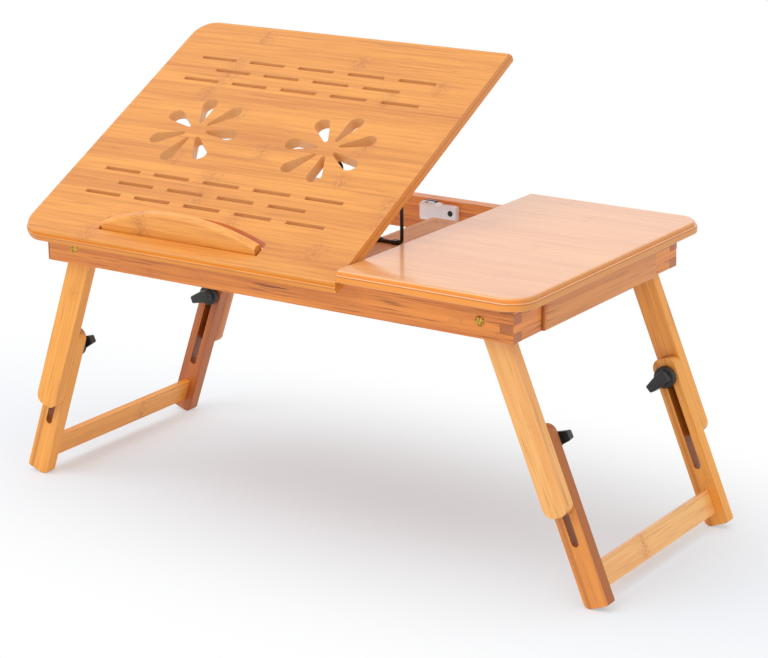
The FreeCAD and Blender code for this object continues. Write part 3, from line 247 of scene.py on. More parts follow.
def vector_math(tree, operation, first, second):
    """A Vector Math node on a socket and a socket or written vector; gives its output."""
    node = put(tree, "ShaderNodeVectorMath", operation=operation)
    tree.links.new(first, node.inputs[0])
    if isinstance(second, tuple):
        node.inputs[1].default_value = second
    else:
        tree.links.new(second, node.inputs[1])
    return node.outputs[0]


def parts_of(tree, vector):
    """The three numbers of a vector or colour socket."""
    node = put(tree, "ShaderNodeSeparateXYZ")
    tree.links.new(vector, node.inputs[0])
    return node.outputs


def packed(tree, *numbers):
    """A vector put together from up to three sockets."""
    node = put(tree, "ShaderNodeCombineXYZ")
    for socket, slot in zip(numbers, node.inputs):
        tree.links.new(socket, slot)
    return node.outputs[0]


def turned_by(tree, vector, turn):
    """A vector socket turned by an Euler vector socket."""
    node = put(tree, "ShaderNodeVectorRotate", rotation_type="EULER_XYZ")
    join(tree, (vector, node.inputs["Vector"]), (turn, node.inputs["Rotation"]))
    return node.outputs[0]


def stretched_noise(tree, vector, scales, detail, rough=0.5):
    """Noise that is drawn out along the grain; gives its value."""
    noise = put(tree, "ShaderNodeTexNoise", inputs={"Scale": 1.0, "Detail": detail, "Roughness": rough})
    tree.links.new(vector_math(tree, "MULTIPLY", vector, scales), noise.inputs["Vector"])
    return noise.outputs["Fac"]


# Bamboo glued up from long strips: each strip has its own tone, fine fibres
# along it, dark veins, and now and then a knuckle, a soft patch of specks.
# Vents Middle and Vents Half give the box whose sawn walls take the vent colour instead of the wood's tone: a colour
# that paints how light falls on those walls.
bamboo, given, gives = new_group(
    "bamboo_strips", masks=["Varnished"],
    vectors=[("Turn", (0, 0, 0)), ("Vents Middle", (0, 0, 0)), ("Vents Half", (0.001, 0.001, 1))],
    colours=[("Pale", (0.8, 0.5, 0.2, 1)), ("Brown", (0.5, 0.25, 0.08, 1)), ("End Grain", (0.25, 0.1, 0.03, 1)),
             ("Vein", (0.3, 0.1, 0.03, 1)), ("Edge Face", (0.8, 0.5, 0.2, 1)),
             ("Vent Face", (0.8, 0.5, 0.2, 1))],
    numbers=[("On Edge", 0.0), ("Strip Width", 0.02), ("Knuckle Spacing", 0.28), ("Seed", 0.0),
             ("Tone Spread", 0.35), ("Knuckles", 1.0), ("Roughness", 0.35), ("Veins", 0.5),
             ("Glue Line", 0.0), ("Glue Half", 0.0004), ("Edge Share", 0.0),
             ("One Knuckle", 0.0), ("Knuckle At", 0.0)])
wants = given.outputs


def times(first, second):
    """Two numbers of the bamboo group multiplied."""
    return sums(bamboo, "MULTIPLY", first, second)


def tinted(under, share, colour):
    """A colour of the bamboo group laid over another by a share."""
    return blend_colours(bamboo, share, under, colour)


def off(value, middle):
    """How far a number of the bamboo group is from another."""
    return sums(bamboo, "ABSOLUTE", sums(bamboo, "SUBTRACT", value, middle))


# The grain runs along X; On Edge says which way the strips lie in the bar.
place = put(bamboo, "ShaderNodeTexCoord")
turned = turned_by(bamboo, place.outputs["Object"], wants["Turn"])
faces = parts_of(bamboo, turned_by(bamboo, place.outputs["Normal"], wants["Turn"]))
along, level_way, upright = parts_of(bamboo, turned)
across = choose(bamboo, wants["On Edge"], level_way, upright)
through = choose(bamboo, wants["On Edge"], upright, level_way)
grain = packed(bamboo, along, across, through)
strips = sums(bamboo, "DIVIDE", across, wants["Strip Width"])
chance = put(bamboo, "ShaderNodeTexWhiteNoise", noise_dimensions="1D")
join(bamboo, (sums(bamboo, "ADD", sums(bamboo, "FLOOR", strips), wants["Seed"]), chance.inputs["W"]))
start_luck, tone_luck, knuckle_luck = parts_of(bamboo, chance.outputs["Color"])
apart = packed(bamboo, times(chance.outputs["Value"], STRIPS_APART), wants["Seed"])
own_grain = vector_math(bamboo, "ADD", grain, apart)

# Fibres, bands, a slow flame and each strip's own luck make the tone.
fibre = stretched_noise(bamboo, own_grain, FIBRE_DRAWN, 3.0, 0.6)
band = stretched_noise(bamboo, own_grain, BAND_DRAWN, 2.0)
flame = stretched_noise(bamboo, grain, FLAME_DRAWN, 2.0)
vein = stretched_noise(bamboo, own_grain, VEIN_DRAWN, 2.0, 0.55)
tone = sums(bamboo, "ADD", times(ramped(bamboo, fibre, *FIBRE_RANGE), TONE_SHARE),
            times(ramped(bamboo, band, *BAND_RANGE), TONE_SHARE))
tone = sums(bamboo, "ADD", tone, times(ramped(bamboo, flame, *FLAME_RANGE), TONE_SHARE))
tone = sums(bamboo, "ADD", tone, times(sums(bamboo, "SUBTRACT", tone_luck, MIDDLE), wants["Tone Spread"]))
tone = sums(bamboo, "SUBTRACT", tone, TONE_DROP, clamp=True)
base = blend_colours(bamboo, tone, wants["Pale"], wants["Brown"])
base = tinted(base, times(ramped(bamboo, vein, *VEIN_RANGE), wants["Veins"]), wants["Vein"])

# The knuckle: distance along the strip to the nearest one, each strip with its own start.
spacing = times(wants["Knuckle Spacing"], sums(bamboo, "ADD", times(knuckle_luck, SPACING_LUCK), LEAST_SPACING))
step = sums(bamboo, "ADD", sums(bamboo, "DIVIDE", along, spacing), times(start_luck, START_LUCK))
many = times(off(sums(bamboo, "FRACT", step), MIDDLE), spacing)
near = choose(bamboo, wants["One Knuckle"], many, off(along, wants["Knuckle At"]))
wander = sums(bamboo, "SUBTRACT", stretched_noise(bamboo, grain, WANDER_DRAWN, 2.0), MIDDLE)
near = sums(bamboo, "ADD", near, times(wander, KNUCKLE_WANDER))
edge = off(sums(bamboo, "FRACT", strips), MIDDLE)
patch = times(ramped(bamboo, near, *KNUCKLE_REACH), ramped(bamboo, edge, *PATCH_EDGE))
patch = times(patch, wants["Knuckles"])
line = times(ramped(bamboo, near, *KNUCKLE_LINE), wants["Knuckles"])
specks = put(bamboo, "ShaderNodeTexVoronoi", inputs={"Scale": 1.0})
join(bamboo, (vector_math(bamboo, "MULTIPLY", grain, SPECK_DRAWN), specks.inputs["Vector"]))
kind = parts_of(bamboo, specks.outputs["Color"])[0]
dot = times(patch, ramped(bamboo, specks.outputs["Distance"], *SPECK_SIZE))
base = tinted(base, times(patch, PATCH_SHOWS), wants["Brown"])
base = tinted(base, times(times(dot, ramped(bamboo, kind, *PALE_SPECKS)), PALE_SHOWS), srgb(*PALE_SPECK))
base = tinted(base, times(times(dot, ramped(bamboo, kind, *DARK_SPECKS)), DARK_SHOWS), wants["Vein"])
base = tinted(base, times(line, LINE_SHOWS), wants["Vein"])
seam = ramped(bamboo, edge, *SEAM_EDGE)
base = tinted(base, times(seam, SEAM_SHOWS), wants["Vein"])

# A dark strip or glue line that runs with the grain at one height.
glue = sums(bamboo, "DIVIDE", off(upright, wants["Glue Line"]), wants["Glue Half"])
glue = ramped(bamboo, glue, *GLUE_EDGE)
base = tinted(base, times(glue, GLUE_SHOWS), wants["Vein"])

# The sawn faces along the edges of a board keep their own tone. The walls of its vents take the vent colour instead,
# which is painted light and shade.
facing = choose(bamboo, wants["On Edge"], faces[2], faces[1])
sawn = ramped(bamboo, sums(bamboo, "ABSOLUTE", facing), *SAWN_FACING)
off_vents = vector_math(bamboo, "SUBTRACT", turned, wants["Vents Middle"])
off_vents = vector_math(bamboo, "DIVIDE", off_vents, wants["Vents Half"])
reach_x, reach_y, reach_z = (sums(bamboo, "ABSOLUTE", part) for part in parts_of(bamboo, off_vents))
reach = sums(bamboo, "MAXIMUM", sums(bamboo, "MAXIMUM", reach_x, reach_y), reach_z)
in_vents = ramped(bamboo, reach, *VENT_EDGE)
beside_vents = sums(bamboo, "SUBTRACT", 1.0, in_vents)
glue = times(glue, beside_vents)
sawn_tone_and_painted_vent_light = tinted(wants["Edge Face"], times(tone, SAWN_TONE), wants["Brown"])
# Inside the vents box the wall colour is painted light and shade, not the wood's own tone.
sawn_tone_and_painted_vent_light = tinted(sawn_tone_and_painted_vent_light, in_vents, wants["Vent Face"])
sawn_tone_and_painted_vent_light = tinted(sawn_tone_and_painted_vent_light, times(glue, GLUE_ON_CUTS), wants["Vein"])
base = tinted(base, times(sawn, wants["Edge Share"]), sawn_tone_and_painted_vent_light)

# Cut ends show the fibre bundles as a dotted face. The varnish stays on the broad faces.
cut_end = times(ramped(bamboo, sums(bamboo, "ABSOLUTE", faces[0]), *CUT_FACING), beside_vents)
pores = put(bamboo, "ShaderNodeTexVoronoi", inputs={"Scale": PORE_SCALE})
join(bamboo, (grain, pores.inputs["Vector"]))
pore = ramped(bamboo, pores.outputs["Distance"], *PORE_SIZE)
end_tone = tinted(wants["End Grain"], times(pore, PORE_SHOWS), wants["Vein"])
end_tone = tinted(end_tone, times(glue, GLUE_ON_CUTS), wants["Vein"])
base = tinted(base, times(cut_end, CUT_SHOWS), end_tone)
bare = times(sums(bamboo, "MAXIMUM", sawn, cut_end), wants["Edge Share"])
rough = sums(bamboo, "ADD", wants["Roughness"], times(fibre, ROUGHER_FIBRES))
height = sums(bamboo, "SUBTRACT", times(fibre, FIBRE_RISE), times(seam, SEAM_SINK))
join(bamboo, (base, gives.inputs["Color"]), (rough, gives.inputs["Roughness"]), (height, gives.inputs["Height"]),
     (sums(bamboo, "SUBTRACT", 1.0, bare), gives.inputs["Varnished"]))

COAT_ROUGH = 0.12
RELIEF = 0.0002
EDGE_TINTED = 0.85
MERGE_WITHIN = 0.00002
FLAT_WITHIN, EDGE_ABOVE = math.radians(1), math.radians(40)
EDGE_STEPS = 2


def finished(name, group, coat=0.0, bump=0.2, coat_mask=None, values=None, **shader):
    """A material from one of the groups, with its constants on the shader."""
    material, tree, out = fresh_material(name)
    shade = put(tree, "ShaderNodeBsdfPrincipled", inputs={"Coat Weight": coat, "Coat Roughness": COAT_ROUGH})
    for label, number in shader.items():
        shade.inputs[label.replace("_", " ")].default_value = number
    look = put(tree, "ShaderNodeGroup", node_tree=group)
    for label, number in (values or {}).items():
        look.inputs[label].default_value = number
    if coat_mask:
        join(tree, (sums(tree, "MULTIPLY", look.outputs[coat_mask], coat), shade.inputs["Coat Weight"]))
    relief = put(tree, "ShaderNodeBump", inputs={"Strength": bump, "Distance": RELIEF})
    join(tree, (look.outputs["Color"], shade.inputs["Base Color"]),
         (look.outputs["Roughness"], shade.inputs["Roughness"]),
         (look.outputs["Height"], relief.inputs["Height"]), (relief.outputs["Normal"], shade.inputs["Normal"]),
         (shade.outputs["BSDF"], out.inputs["Surface"]))
    return material


def bamboo_look(name, pale, brown, turn, end=(120, 66, 30), vein=(140, 70, 30), side=None, coat=0.35,
                gloss=1.5, **values):
    """One bamboo finish; colours in 0-255 steps, turn brings the grain to X, side tints the edge faces."""
    settings = {"Turn": turn, "Pale": srgb(*pale), "Brown": srgb(*brown), "End Grain": srgb(*end),
                "Vein": srgb(*vein)}
    if side:
        settings.update({"Edge Face": srgb(*side), "Edge Share": EDGE_TINTED})
    settings.update({label.replace("_", " "): number for label, number in values.items()})
    return finished(name, bamboo, coat, coat_mask="Varnished" if side else None, values=settings, Coat_IOR=gloss)


def dress(node, look, edge=0):
    """Gives a CAD node its finish. Where edge isn't 0, its saw edges are rounded by so many millimetres."""
    body = nodes[node]
    body.data.materials.clear()
    body.data.materials.append(look)
    if edge:
        weld = body.modifiers.new("merge", "WELD")
        weld.merge_threshold = MERGE_WITHIN
        flat = body.modifiers.new("flat_faces", "DECIMATE")
        flat.decimate_type = "DISSOLVE"
        flat.angle_limit = FLAT_WITHIN
        eased = body.modifiers.new("eased_edge", "BEVEL")
        eased.width = edge * MM
        eased.segments = EDGE_STEPS
        eased.limit_method = "ANGLE"
        eased.angle_limit = EDGE_ABOVE
        eased.harden_normals = True


RAIL_PALE, RAIL_BROWN, RAIL_VEIN = (250, 154, 62), (182, 86, 30), (116, 46, 16)
RAIL_END = (182, 104, 52)
RAIL_GRAIN = {"coat": 0.2, "On_Edge": 1.0, "Strip_Width": 0.0075, "Knuckle_Spacing": 0.31, "Tone_Spread": 0.6,
              "Veins": 0.8, "Knuckles": 0.3}
INNER_PALE, INNER_BROWN, INNER_ROUGH = (232, 176, 124), (206, 138, 88), 0.5
RAIL_EASED, BOARD_EASED = 0.5, 0.4
rail_look = bamboo_look("bamboo_rail_x", RAIL_PALE, RAIL_BROWN, ALONG_X, RAIL_END, RAIL_VEIN, Seed=3.0, **RAIL_GRAIN)
end_look = bamboo_look("bamboo_rail_y", RAIL_PALE, RAIL_BROWN, ALONG_Y, RAIL_END, RAIL_VEIN, Seed=11.0, **RAIL_GRAIN)
inner_x = bamboo_look("bamboo_inner_x", INNER_PALE, INNER_BROWN, ALONG_X, coat=0.0, Roughness=INNER_ROUGH, Seed=5.0)
inner_y = bamboo_look("bamboo_inner_y", INNER_PALE, INNER_BROWN, ALONG_Y, coat=0.0, Roughness=INNER_ROUGH, Seed=9.0)
for rail in ("front_rail", "back_rail"):
    dress(rail, rail_look, RAIL_EASED)
for rail in ("left_end_rail", "right_front_stub", "right_back_stub"):
    dress(rail, end_look, RAIL_EASED)
for guide in ("drawer_guide_front", "drawer_guide_back"):
    dress(guide, inner_x, BOARD_EASED)
dress("divider", inner_y, BOARD_EASED)


# ---- Leg pivots: brass screws and their nuts -------------------------------
# A brass screw with a domed, slotted head goes in through each long rail and
# into a round brass nut in the top of the leg behind it.

PIVOT_X = {"left": -209.667, "right": 195.797}
PIVOT_Z = 224.774
RAIL_FACE = 132.0
BRASS_HEAD = {"radius": 4.2, "high": 1.6, "slot_half": 0.45, "slot_deep": 0.8}
BRASS_SHANK = {"shank": 2.5, "long": 20.8}
HEAD_TURNS = {"left": (0.35, 1.1), "right": (0.9, 2.2)}
HEAD_DOME = ((0, 1), (0.35, 0.96), (0.65, 0.80), (0.86, 0.52), (0.97, 0.2), (1, 0))
SLOT_FLOOR_SHARE, HEAD_LAND, HEAD_UNDER = 0.85, 0.05, 0.99
POINT_LONG, POINT_RADIUS = 0.4, 0.6
ALL_ROUND = 2 * math.pi
SAME_POINT = 0.001
SCREW_SMOOTH = 35


def new_piece(name, mesh, material, body, *stands_for, smooth):
    """Turns a finished mesh into a piece that rides on a body in place of some CAD nodes."""
    bmesh.ops.recalc_face_normals(mesh, faces=mesh.faces)
    bmesh.ops.scale(mesh, vec=(MM, MM, MM), verts=mesh.verts)
    data = bpy.data.meshes.new(name)
    mesh.to_mesh(data)
    mesh.free()
    data.materials.append(material)
    data.shade_smooth()
    data.set_sharp_from_angle(angle=math.radians(smooth))
    piece = bpy.data.objects.new(name, data)
    bpy.context.scene.collection.objects.link(piece)
    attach(piece, body)
    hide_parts(*stands_for)


def turned_part(profile, steps=40):
    """A part turned on a lathe: (radius, height) points spun about Z."""
    mesh = bmesh.new()
    points = [mesh.verts.new((radius, 0, height)) for radius, height in profile]
    edges = [mesh.edges.new(pair) for pair in zip(points, points[1:])]
    bmesh.ops.spin(mesh, geom=points + edges, cent=(0, 0, 0), axis=(0, 0, 1), angle=ALL_ROUND, steps=steps,
                   use_merge=True)
    bmesh.ops.remove_doubles(mesh, verts=mesh.verts, dist=SAME_POINT)
    return mesh


def add_mesh(mesh, part, matrix=Matrix()):
    """Adds a part to a mesh at a place, and frees the part."""
    bmesh.ops.transform(part, matrix=matrix, verts=part.verts)
    data = bpy.data.meshes.new("loose")
    part.to_mesh(data)
    part.free()
    mesh.from_mesh(data)
    bpy.data.meshes.remove(data)


def slotted_screw(radius, high, slot_half, slot_deep, shank, long):
    """A screw along Z: a shank below 0, and above it a domed head in two halves beside its slot."""
    dome = [(radius * out, high * up) for out, up in HEAD_DOME]
    slot_floor = high - slot_deep
    screw = turned_part([(0, slot_floor), (radius * SLOT_FLOOR_SHARE, slot_floor), (radius, HEAD_LAND),
                         (radius * HEAD_UNDER, 0), (shank, 0), (shank, -long + shank * POINT_LONG),
                         (shank * POINT_RADIUS, -long), (0, -long)])
    for side in (1, -1):
        half = turned_part(dome + [(0, 0)])
        cut_at = bmesh.ops.bisect_plane(half, geom=half.verts[:] + half.edges[:] + half.faces[:],
                                        plane_co=(0, side * slot_half, 0), plane_no=(0, -side, 0), clear_outer=True)
        rim = [item for item in cut_at["geom_cut"] if isinstance(item, bmesh.types.BMEdge)]
        bmesh.ops.holes_fill(half, edges=rim, sides=0)
        add_mesh(screw, half)
    return screw


brass_mesh = bmesh.new()
for side in ("left", "right"):
    for face, turn in zip((-1, 1), HEAD_TURNS[side]):
        outward = Matrix.Rotation(math.radians(90 * -face), 4, "X")
        where = Matrix.Translation((PIVOT_X[side], face * RAIL_FACE, PIVOT_Z))
        add_mesh(brass_mesh, slotted_screw(**BRASS_HEAD, **BRASS_SHANK),
                 where @ outward @ Matrix.Rotation(turn, 4, "Z"))

# Metal and moulded plastic: one tone with faint dull spots, a little rougher where it is dull.
STAIN_FROM, STAIN_TO, STAIN_ROUGHER = 0.35, 0.75, 0.2
metal, given, gives = new_group(
    "spotted_tone", numbers=[("Scale", 300.0), ("Roughness", 0.25)],
    colours=[("Bright", (0.8, 0.8, 0.8, 1)), ("Dull", (0.4, 0.4, 0.4, 1))])
place = put(metal, "ShaderNodeTexCoord")
spots = put(metal, "ShaderNodeTexNoise", inputs={"Detail": 3.0})
join(metal, (place.outputs["Object"], spots.inputs["Vector"]), (given.outputs["Scale"], spots.inputs["Scale"]))
stain = ramped(metal, spots.outputs["Fac"], STAIN_FROM, STAIN_TO)
rough = sums(metal, "ADD", given.outputs["Roughness"], sums(metal, "MULTIPLY", stain, STAIN_ROUGHER))
join(metal, (blend_colours(metal, stain, given.outputs["Bright"], given.outputs["Dull"]), gives.inputs["Color"]),
     (rough, gives.inputs["Roughness"]), (spots.outputs["Fac"], gives.inputs["Height"]))


def toned(name, bright, dull, scale=300.0, rough=0.25, bump=0.2, coat=0.0, **shader):
    """A metal or plastic finish; colours in 0-255 steps."""
    values = {"Bright": srgb(*bright), "Dull": srgb(*dull), "Scale": scale, "Roughness": rough}
    return finished(name, metal, coat, bump, values=values, **shader)


brass_look = toned("brass", (226, 180, 84), (122, 82, 30), scale=520.0, Metallic=1.0)
new_piece("leg_pivot_brass_screws", brass_mesh, brass_look, "frame", "leg_pivot_screws", smooth=SCREW_SMOOTH)
dress("leg_pivot_nuts", brass_look)


# ---- Magnetic catch on the back rail ---------------------------------------
# A white moulded case with a magnet between two steel plates, and a narrower
# tab beside it that one black screw holds to the rail.

CASE_LEFT, CASE_RIGHT, TAB_RIGHT = -18.372, 0.628, 17.628
CASE_LOW, CASE_HIGH, CASE_FRONT = 223.424, 239.024, 110.4
TAB_LOW, TAB_HIGH, TAB_FRONT = 224.524, 237.924, 114.2
RAIL_INSIDE = 120.0
CORNER_STEPS = 5
CATCH_SMOOTH = 40
CATCH_SCREW_X, CATCH_SCREW_Z, CATCH_SCREW_TURN = 12.028, 231.224, 0.9
BLACK_SCREW = {"radius": 2.6, "high": 1.4, "slot_half": 0.35, "slot_deep": 0.7, "shank": 1.5, "long": 11.5}


def rounded_section(mesh, at, front, low, high, radius):
    """A loop in the plane of one X: a rectangle to the rail's face with round corners at its front."""
    loop = [mesh.verts.new((at, RAIL_INSIDE, low))]
    for centre_z, start in ((low + radius, 1.5 * math.pi), (high - radius, math.pi)):
        for step in range(CORNER_STEPS + 1):
            angle = start - step / CORNER_STEPS * math.pi / 2
            loop.append(mesh.verts.new((at, front + radius + radius * math.cos(angle),
                                        centre_z + radius * math.sin(angle))))
    loop.append(mesh.verts.new((at, RAIL_INSIDE, high)))
    return loop


catch_mesh = bmesh.new()
# Along X: place, front, low side, high side and the radius of the front corners.
stations = [(CASE_LEFT, CASE_FRONT + 1.6, CASE_LOW + 1.4, CASE_HIGH - 1.4, 1.6),
            (CASE_LEFT + 0.25, CASE_FRONT + 0.7, CASE_LOW + 0.6, CASE_HIGH - 0.6, 1.8),
            (CASE_LEFT + 0.9, CASE_FRONT + 0.15, CASE_LOW + 0.12, CASE_HIGH - 0.12, 1.9),
            (CASE_LEFT + 1.7, CASE_FRONT, CASE_LOW, CASE_HIGH, 1.9),
            (CASE_RIGHT - 2.2, CASE_FRONT, CASE_LOW, CASE_HIGH, 1.9),
            (CASE_RIGHT - 1.1, CASE_FRONT + 0.4, CASE_LOW + 0.2, CASE_HIGH - 0.2, 1.9),
            (CASE_RIGHT + 0.4, CASE_FRONT + 1.8, CASE_LOW + 0.9, CASE_HIGH - 0.9, 1.8),
            (CASE_RIGHT + 1.6, CASE_FRONT + 3.1, CASE_LOW + 1.6, CASE_HIGH - 1.7, 1.5),
            (CASE_RIGHT + 2.8, TAB_FRONT, TAB_LOW + 0.2, TAB_HIGH - 0.2, 1.2),
            (CASE_RIGHT + 3.8, TAB_FRONT, TAB_LOW, TAB_HIGH, 1.0),
            (TAB_RIGHT - 1.2, TAB_FRONT, TAB_LOW, TAB_HIGH, 1.0),
            (TAB_RIGHT - 0.35, TAB_FRONT + 0.25, TAB_LOW + 0.25, TAB_HIGH - 0.25, 1.0),
            (TAB_RIGHT, TAB_FRONT + 1.0, TAB_LOW + 1.0, TAB_HIGH - 1.0, 1.0)]
loops = [rounded_section(catch_mesh, *station) for station in stations]
for before, after in zip(loops, loops[1:]):
    for k in range(len(before)):
        after_k = (k + 1) % len(before)
        catch_mesh.faces.new((before[k], before[after_k], after[after_k], after[k]))
catch_mesh.faces.new(loops[0])
catch_mesh.faces.new(loops[-1])
white_look = toned("white_plastic", (254, 250, 255), (248, 244, 252), scale=200.0, rough=0.3, coat=0.8,
                   Subsurface_Weight=0.1)
wire_look = toned("black_metal", (40, 34, 34), (24, 20, 20), scale=500.0, rough=0.3)
steel_look = toned("steel", (206, 206, 208), (150, 150, 154), Metallic=1.0)
magnet_look = toned("magnet", (70, 70, 74), (44, 44, 46))
new_piece("catch_moulded_case", catch_mesh, white_look, "frame", "catch_body", smooth=CATCH_SMOOTH)
dress("catch_magnet", magnet_look)
dress("catch_pole_plates", steel_look)

into_rail = Matrix.Translation((CATCH_SCREW_X, TAB_FRONT, CATCH_SCREW_Z)) @ Matrix.Rotation(math.pi / 2, 4, "X")
catch_screw_mesh = bmesh.new()
add_mesh(catch_screw_mesh, slotted_screw(**BLACK_SCREW), into_rail @ Matrix.Rotation(CATCH_SCREW_TURN, 4, "Z"))
new_piece("catch_black_screw", catch_screw_mesh, wire_look, "frame", "catch_screw", smooth=SCREW_SMOOTH)


# ---- Fixed top and its dowels --------------------------------------------
# The right-hand part of the table top: one varnished bamboo board with a
# stepped, rounded rim, glued to the rails on short dowels.

SAWN_END, RIM, BOARD_VEIN = (228, 150, 66), (250, 152, 34), (168, 88, 34)
TOP_PALE, TOP_BROWN = (248, 172, 100), (222, 136, 70)
BOARD_STRIP = 0.021
TOP_GLUE_AT = 0.2464
top_look = bamboo_look("bamboo_top_x", TOP_PALE, TOP_BROWN, ALONG_X, SAWN_END, BOARD_VEIN, RIM, coat=0.9, gloss=1.8,
                       Strip_Width=BOARD_STRIP, Knuckle_Spacing=0.33, Seed=21.0, Tone_Spread=0.25, Veins=0.06,
                       Knuckles=0.4, Roughness=0.3, Glue_Line=TOP_GLUE_AT)
dress("fixed_top", top_look)
dress("top_dowels", inner_y)


# ---- Tilting board --------------------------------------------------------
# The wide left-hand board, hinged at the front edge. Same varnished bamboo,
# with sawn vent slots, two cut-out flowers and a recess for the book stop.

TILT = math.radians(28.2)
TILTED = (-TILT, 0, 0)
TILT_PALE, TILT_BROWN = (240, 160, 64), (198, 112, 36)
# The vent walls are painted paler than the board: painted light on the walls of the slots and flowers, which lie in
# shade.
VENT_WALL_PAINTED_LIGHT = (244, 190, 126)
VENTS_MIDDLE, VENTS_HALF = (-0.0904, 0.1475, 0), (0.152, 0.1195, 1)
TILT_GLUE_AT = 0.2786
tilt_look = bamboo_look("bamboo_tilt", TILT_PALE, TILT_BROWN, TILTED, SAWN_END, BOARD_VEIN, RIM, coat=0.4,
                        Vent_Face=srgb(*VENT_WALL_PAINTED_LIGHT), Vents_Middle=VENTS_MIDDLE, Vents_Half=VENTS_HALF,
                        Strip_Width=BOARD_STRIP, Knuckle_Spacing=0.24, Seed=40.0, Tone_Spread=0.4, Veins=0.4,
                        Knuckles=0.7, Glue_Line=TILT_GLUE_AT)
dress("tilt_panel", tilt_look)


# ---- Hinges and strike plate -----------------------------------------------
# Two brass butt hinges let in along the front edge, on steel pins, and the
# steel plate under the board's back edge that the catch holds.

for node in ("hinge_frame_leaves", "hinge_panel_leaves", "hinge_frame_screws", "hinge_panel_screws"):
    dress(node, brass_look)
for node in ("hinge_pins", "strike_plate", "strike_screws"):
    dress(node, steel_look)


# ---- Book stop and its pins ----------------------------------------------
# The arched lip that was sawn out of the tilting board. It turns up on two
# steel pins at its ends and holds a book or a laptop on the slope.

STOP_PALE, STOP_BROWN = (252, 172, 74), (212, 124, 46)
stop_look = bamboo_look("bamboo_stop", STOP_PALE, STOP_BROWN, ALONG_X, SAWN_END, BOARD_VEIN, coat=0.3,
                        Strip_Width=BOARD_STRIP, Knuckle_Spacing=0.24, Seed=40.0, Veins=0.4)
dress("book_stop", stop_look)
dress("book_stop_pins", steel_look)


# ---- Wire prop, its board, clips and cleats -----------------------------
# A black bent wire that turns in two saddle clips on a thin bamboo board;
# its feet rest against two notched cleats under the tilting board.

CLIP_EASED = 0.2
black_look = toned("black_plastic", (40, 40, 40), (26, 26, 27), scale=900.0, rough=0.34, bump=0.3)
dress("prop_board", inner_y, BOARD_EASED)
dress("prop_clips", black_look, CLIP_EASED)
dress("prop_clip_screws", wire_look)
dress("prop_wire", wire_look)
dress("prop_cleats", inner_x, BOARD_EASED)


# ---- Drawer ----------------------------------------------------------------
# A small glued box of thin bamboo boards that slides between two guides. Its
# thicker front stands proud of the stubs on each side of it.

FRONT_PALE, FRONT_BROWN = (232, 148, 68), (188, 100, 42)
FRONT_EASED = 0.6
front_look = bamboo_look("bamboo_drawer", FRONT_PALE, FRONT_BROWN, ALONG_Y, RAIL_END, RAIL_VEIN, coat=0.2,
                         On_Edge=1.0, Strip_Width=0.0095, Seed=15.0, Veins=0.5)
dress("drawer_front", front_look, FRONT_EASED)
for board in ("drawer_front_side", "drawer_back_side"):
    dress(board, inner_x, BOARD_EASED)
for board in ("drawer_back", "drawer_bottom"):
    dress(board, inner_y, BOARD_EASED)


# ---- Legs ------------------------------------------------------------------
# Four two-part legs of solid bamboo bar with round ends, and a flat bar
# across each pair of feet, all lightly varnished.

SPLAY_LEFT, SPLAY_RIGHT = math.radians(19.3), math.radians(22.5)
LEG_TURNS = {"left": (0, -math.pi / 2 - SPLAY_LEFT, 0), "right": (0, SPLAY_RIGHT - math.pi / 2, 0)}
LEG_END, LEG_VEIN = (190, 128, 72), (172, 94, 34)
PALE_GOLD, GOLDEN = ((255, 192, 112), (238, 152, 78)), ((254, 174, 74), (220, 130, 46))
# The two darkest golds are darker copies for the back left leg: painted shade, as that leg stands in shadow.
WARM_GOLD, SHADED_GOLD = ((240, 152, 66), (200, 116, 44)), ((222, 134, 58), (170, 90, 34))
DEEPER_SHADED_GOLD = ((196, 110, 50), (140, 72, 30))
SKIN_BROWN = (160, 80, 12)
# The slot walls' colour is painted shade, darker than the leg's face.
SLOT_WALL_PAINTED_SHADE, SLOT_STRIP_HALF = (158, 82, 20), 0.0044
DARK_STRIP_AT, DARK_STRIP_HALF = -0.0064, 0.0014
LEG_EASED = 0.8
LEG_GRAIN = {"coat": 0.1, "On_Edge": 1.0, "Strip_Width": 0.012, "Knuckle_Spacing": 0.2, "Tone_Spread": 0.4,
             "Knuckles": 0.35}
BAR_GRAIN = {"On_Edge": 1.0, "Strip_Width": 0.030, "One_Knuckle": 1.0, "Veins": 0.4}
FIRST_SEED, NEXT_LEG, NEXT_HALF = 60.0, 20, 3
LEG_BARS = {
    "left_front": (GOLDEN, GOLDEN, None), "left_back": (SHADED_GOLD, DEEPER_SHADED_GOLD, None),
    "right_front": (PALE_GOLD, WARM_GOLD, SKIN_BROWN), "right_back": (GOLDEN, GOLDEN, None)}
CROSS_BARS = {"left": (GOLDEN, 0.029), "right": (PALE_GOLD, -0.022)}
for number, (corner, (upper, lower, skin)) in enumerate(LEG_BARS.items()):
    side = corner.split("_")[0]
    turn = LEG_TURNS[side]
    pivot = Vector((PIVOT_X[side], 0, PIVOT_Z)) * MM
    middle = (Euler(turn).to_matrix() @ pivot).z
    seed = FIRST_SEED + NEXT_LEG * number
    upper_look = bamboo_look("bamboo_upper_" + corner, *upper, turn, LEG_END, LEG_VEIN, Seed=seed, **LEG_GRAIN)
    # A dark strip runs beside the slot of the lower leg. The slot's walls are painted darker than its face: painted
    # shade in the slot.
    lower_look = bamboo_look("bamboo_lower_" + corner, *lower, turn, LEG_END, LEG_VEIN, skin or lower[0],
                             Vents_Middle=(0, 0, middle), Vents_Half=(1, 1, SLOT_STRIP_HALF),
                             Vent_Face=srgb(*SLOT_WALL_PAINTED_SHADE), Glue_Line=middle + DARK_STRIP_AT,
                             Glue_Half=DARK_STRIP_HALF, Seed=seed + NEXT_HALF, **LEG_GRAIN)
    dress(corner + "_upper_leg", upper_look, LEG_EASED)
    dress(corner + "_lower_leg", lower_look, LEG_EASED)
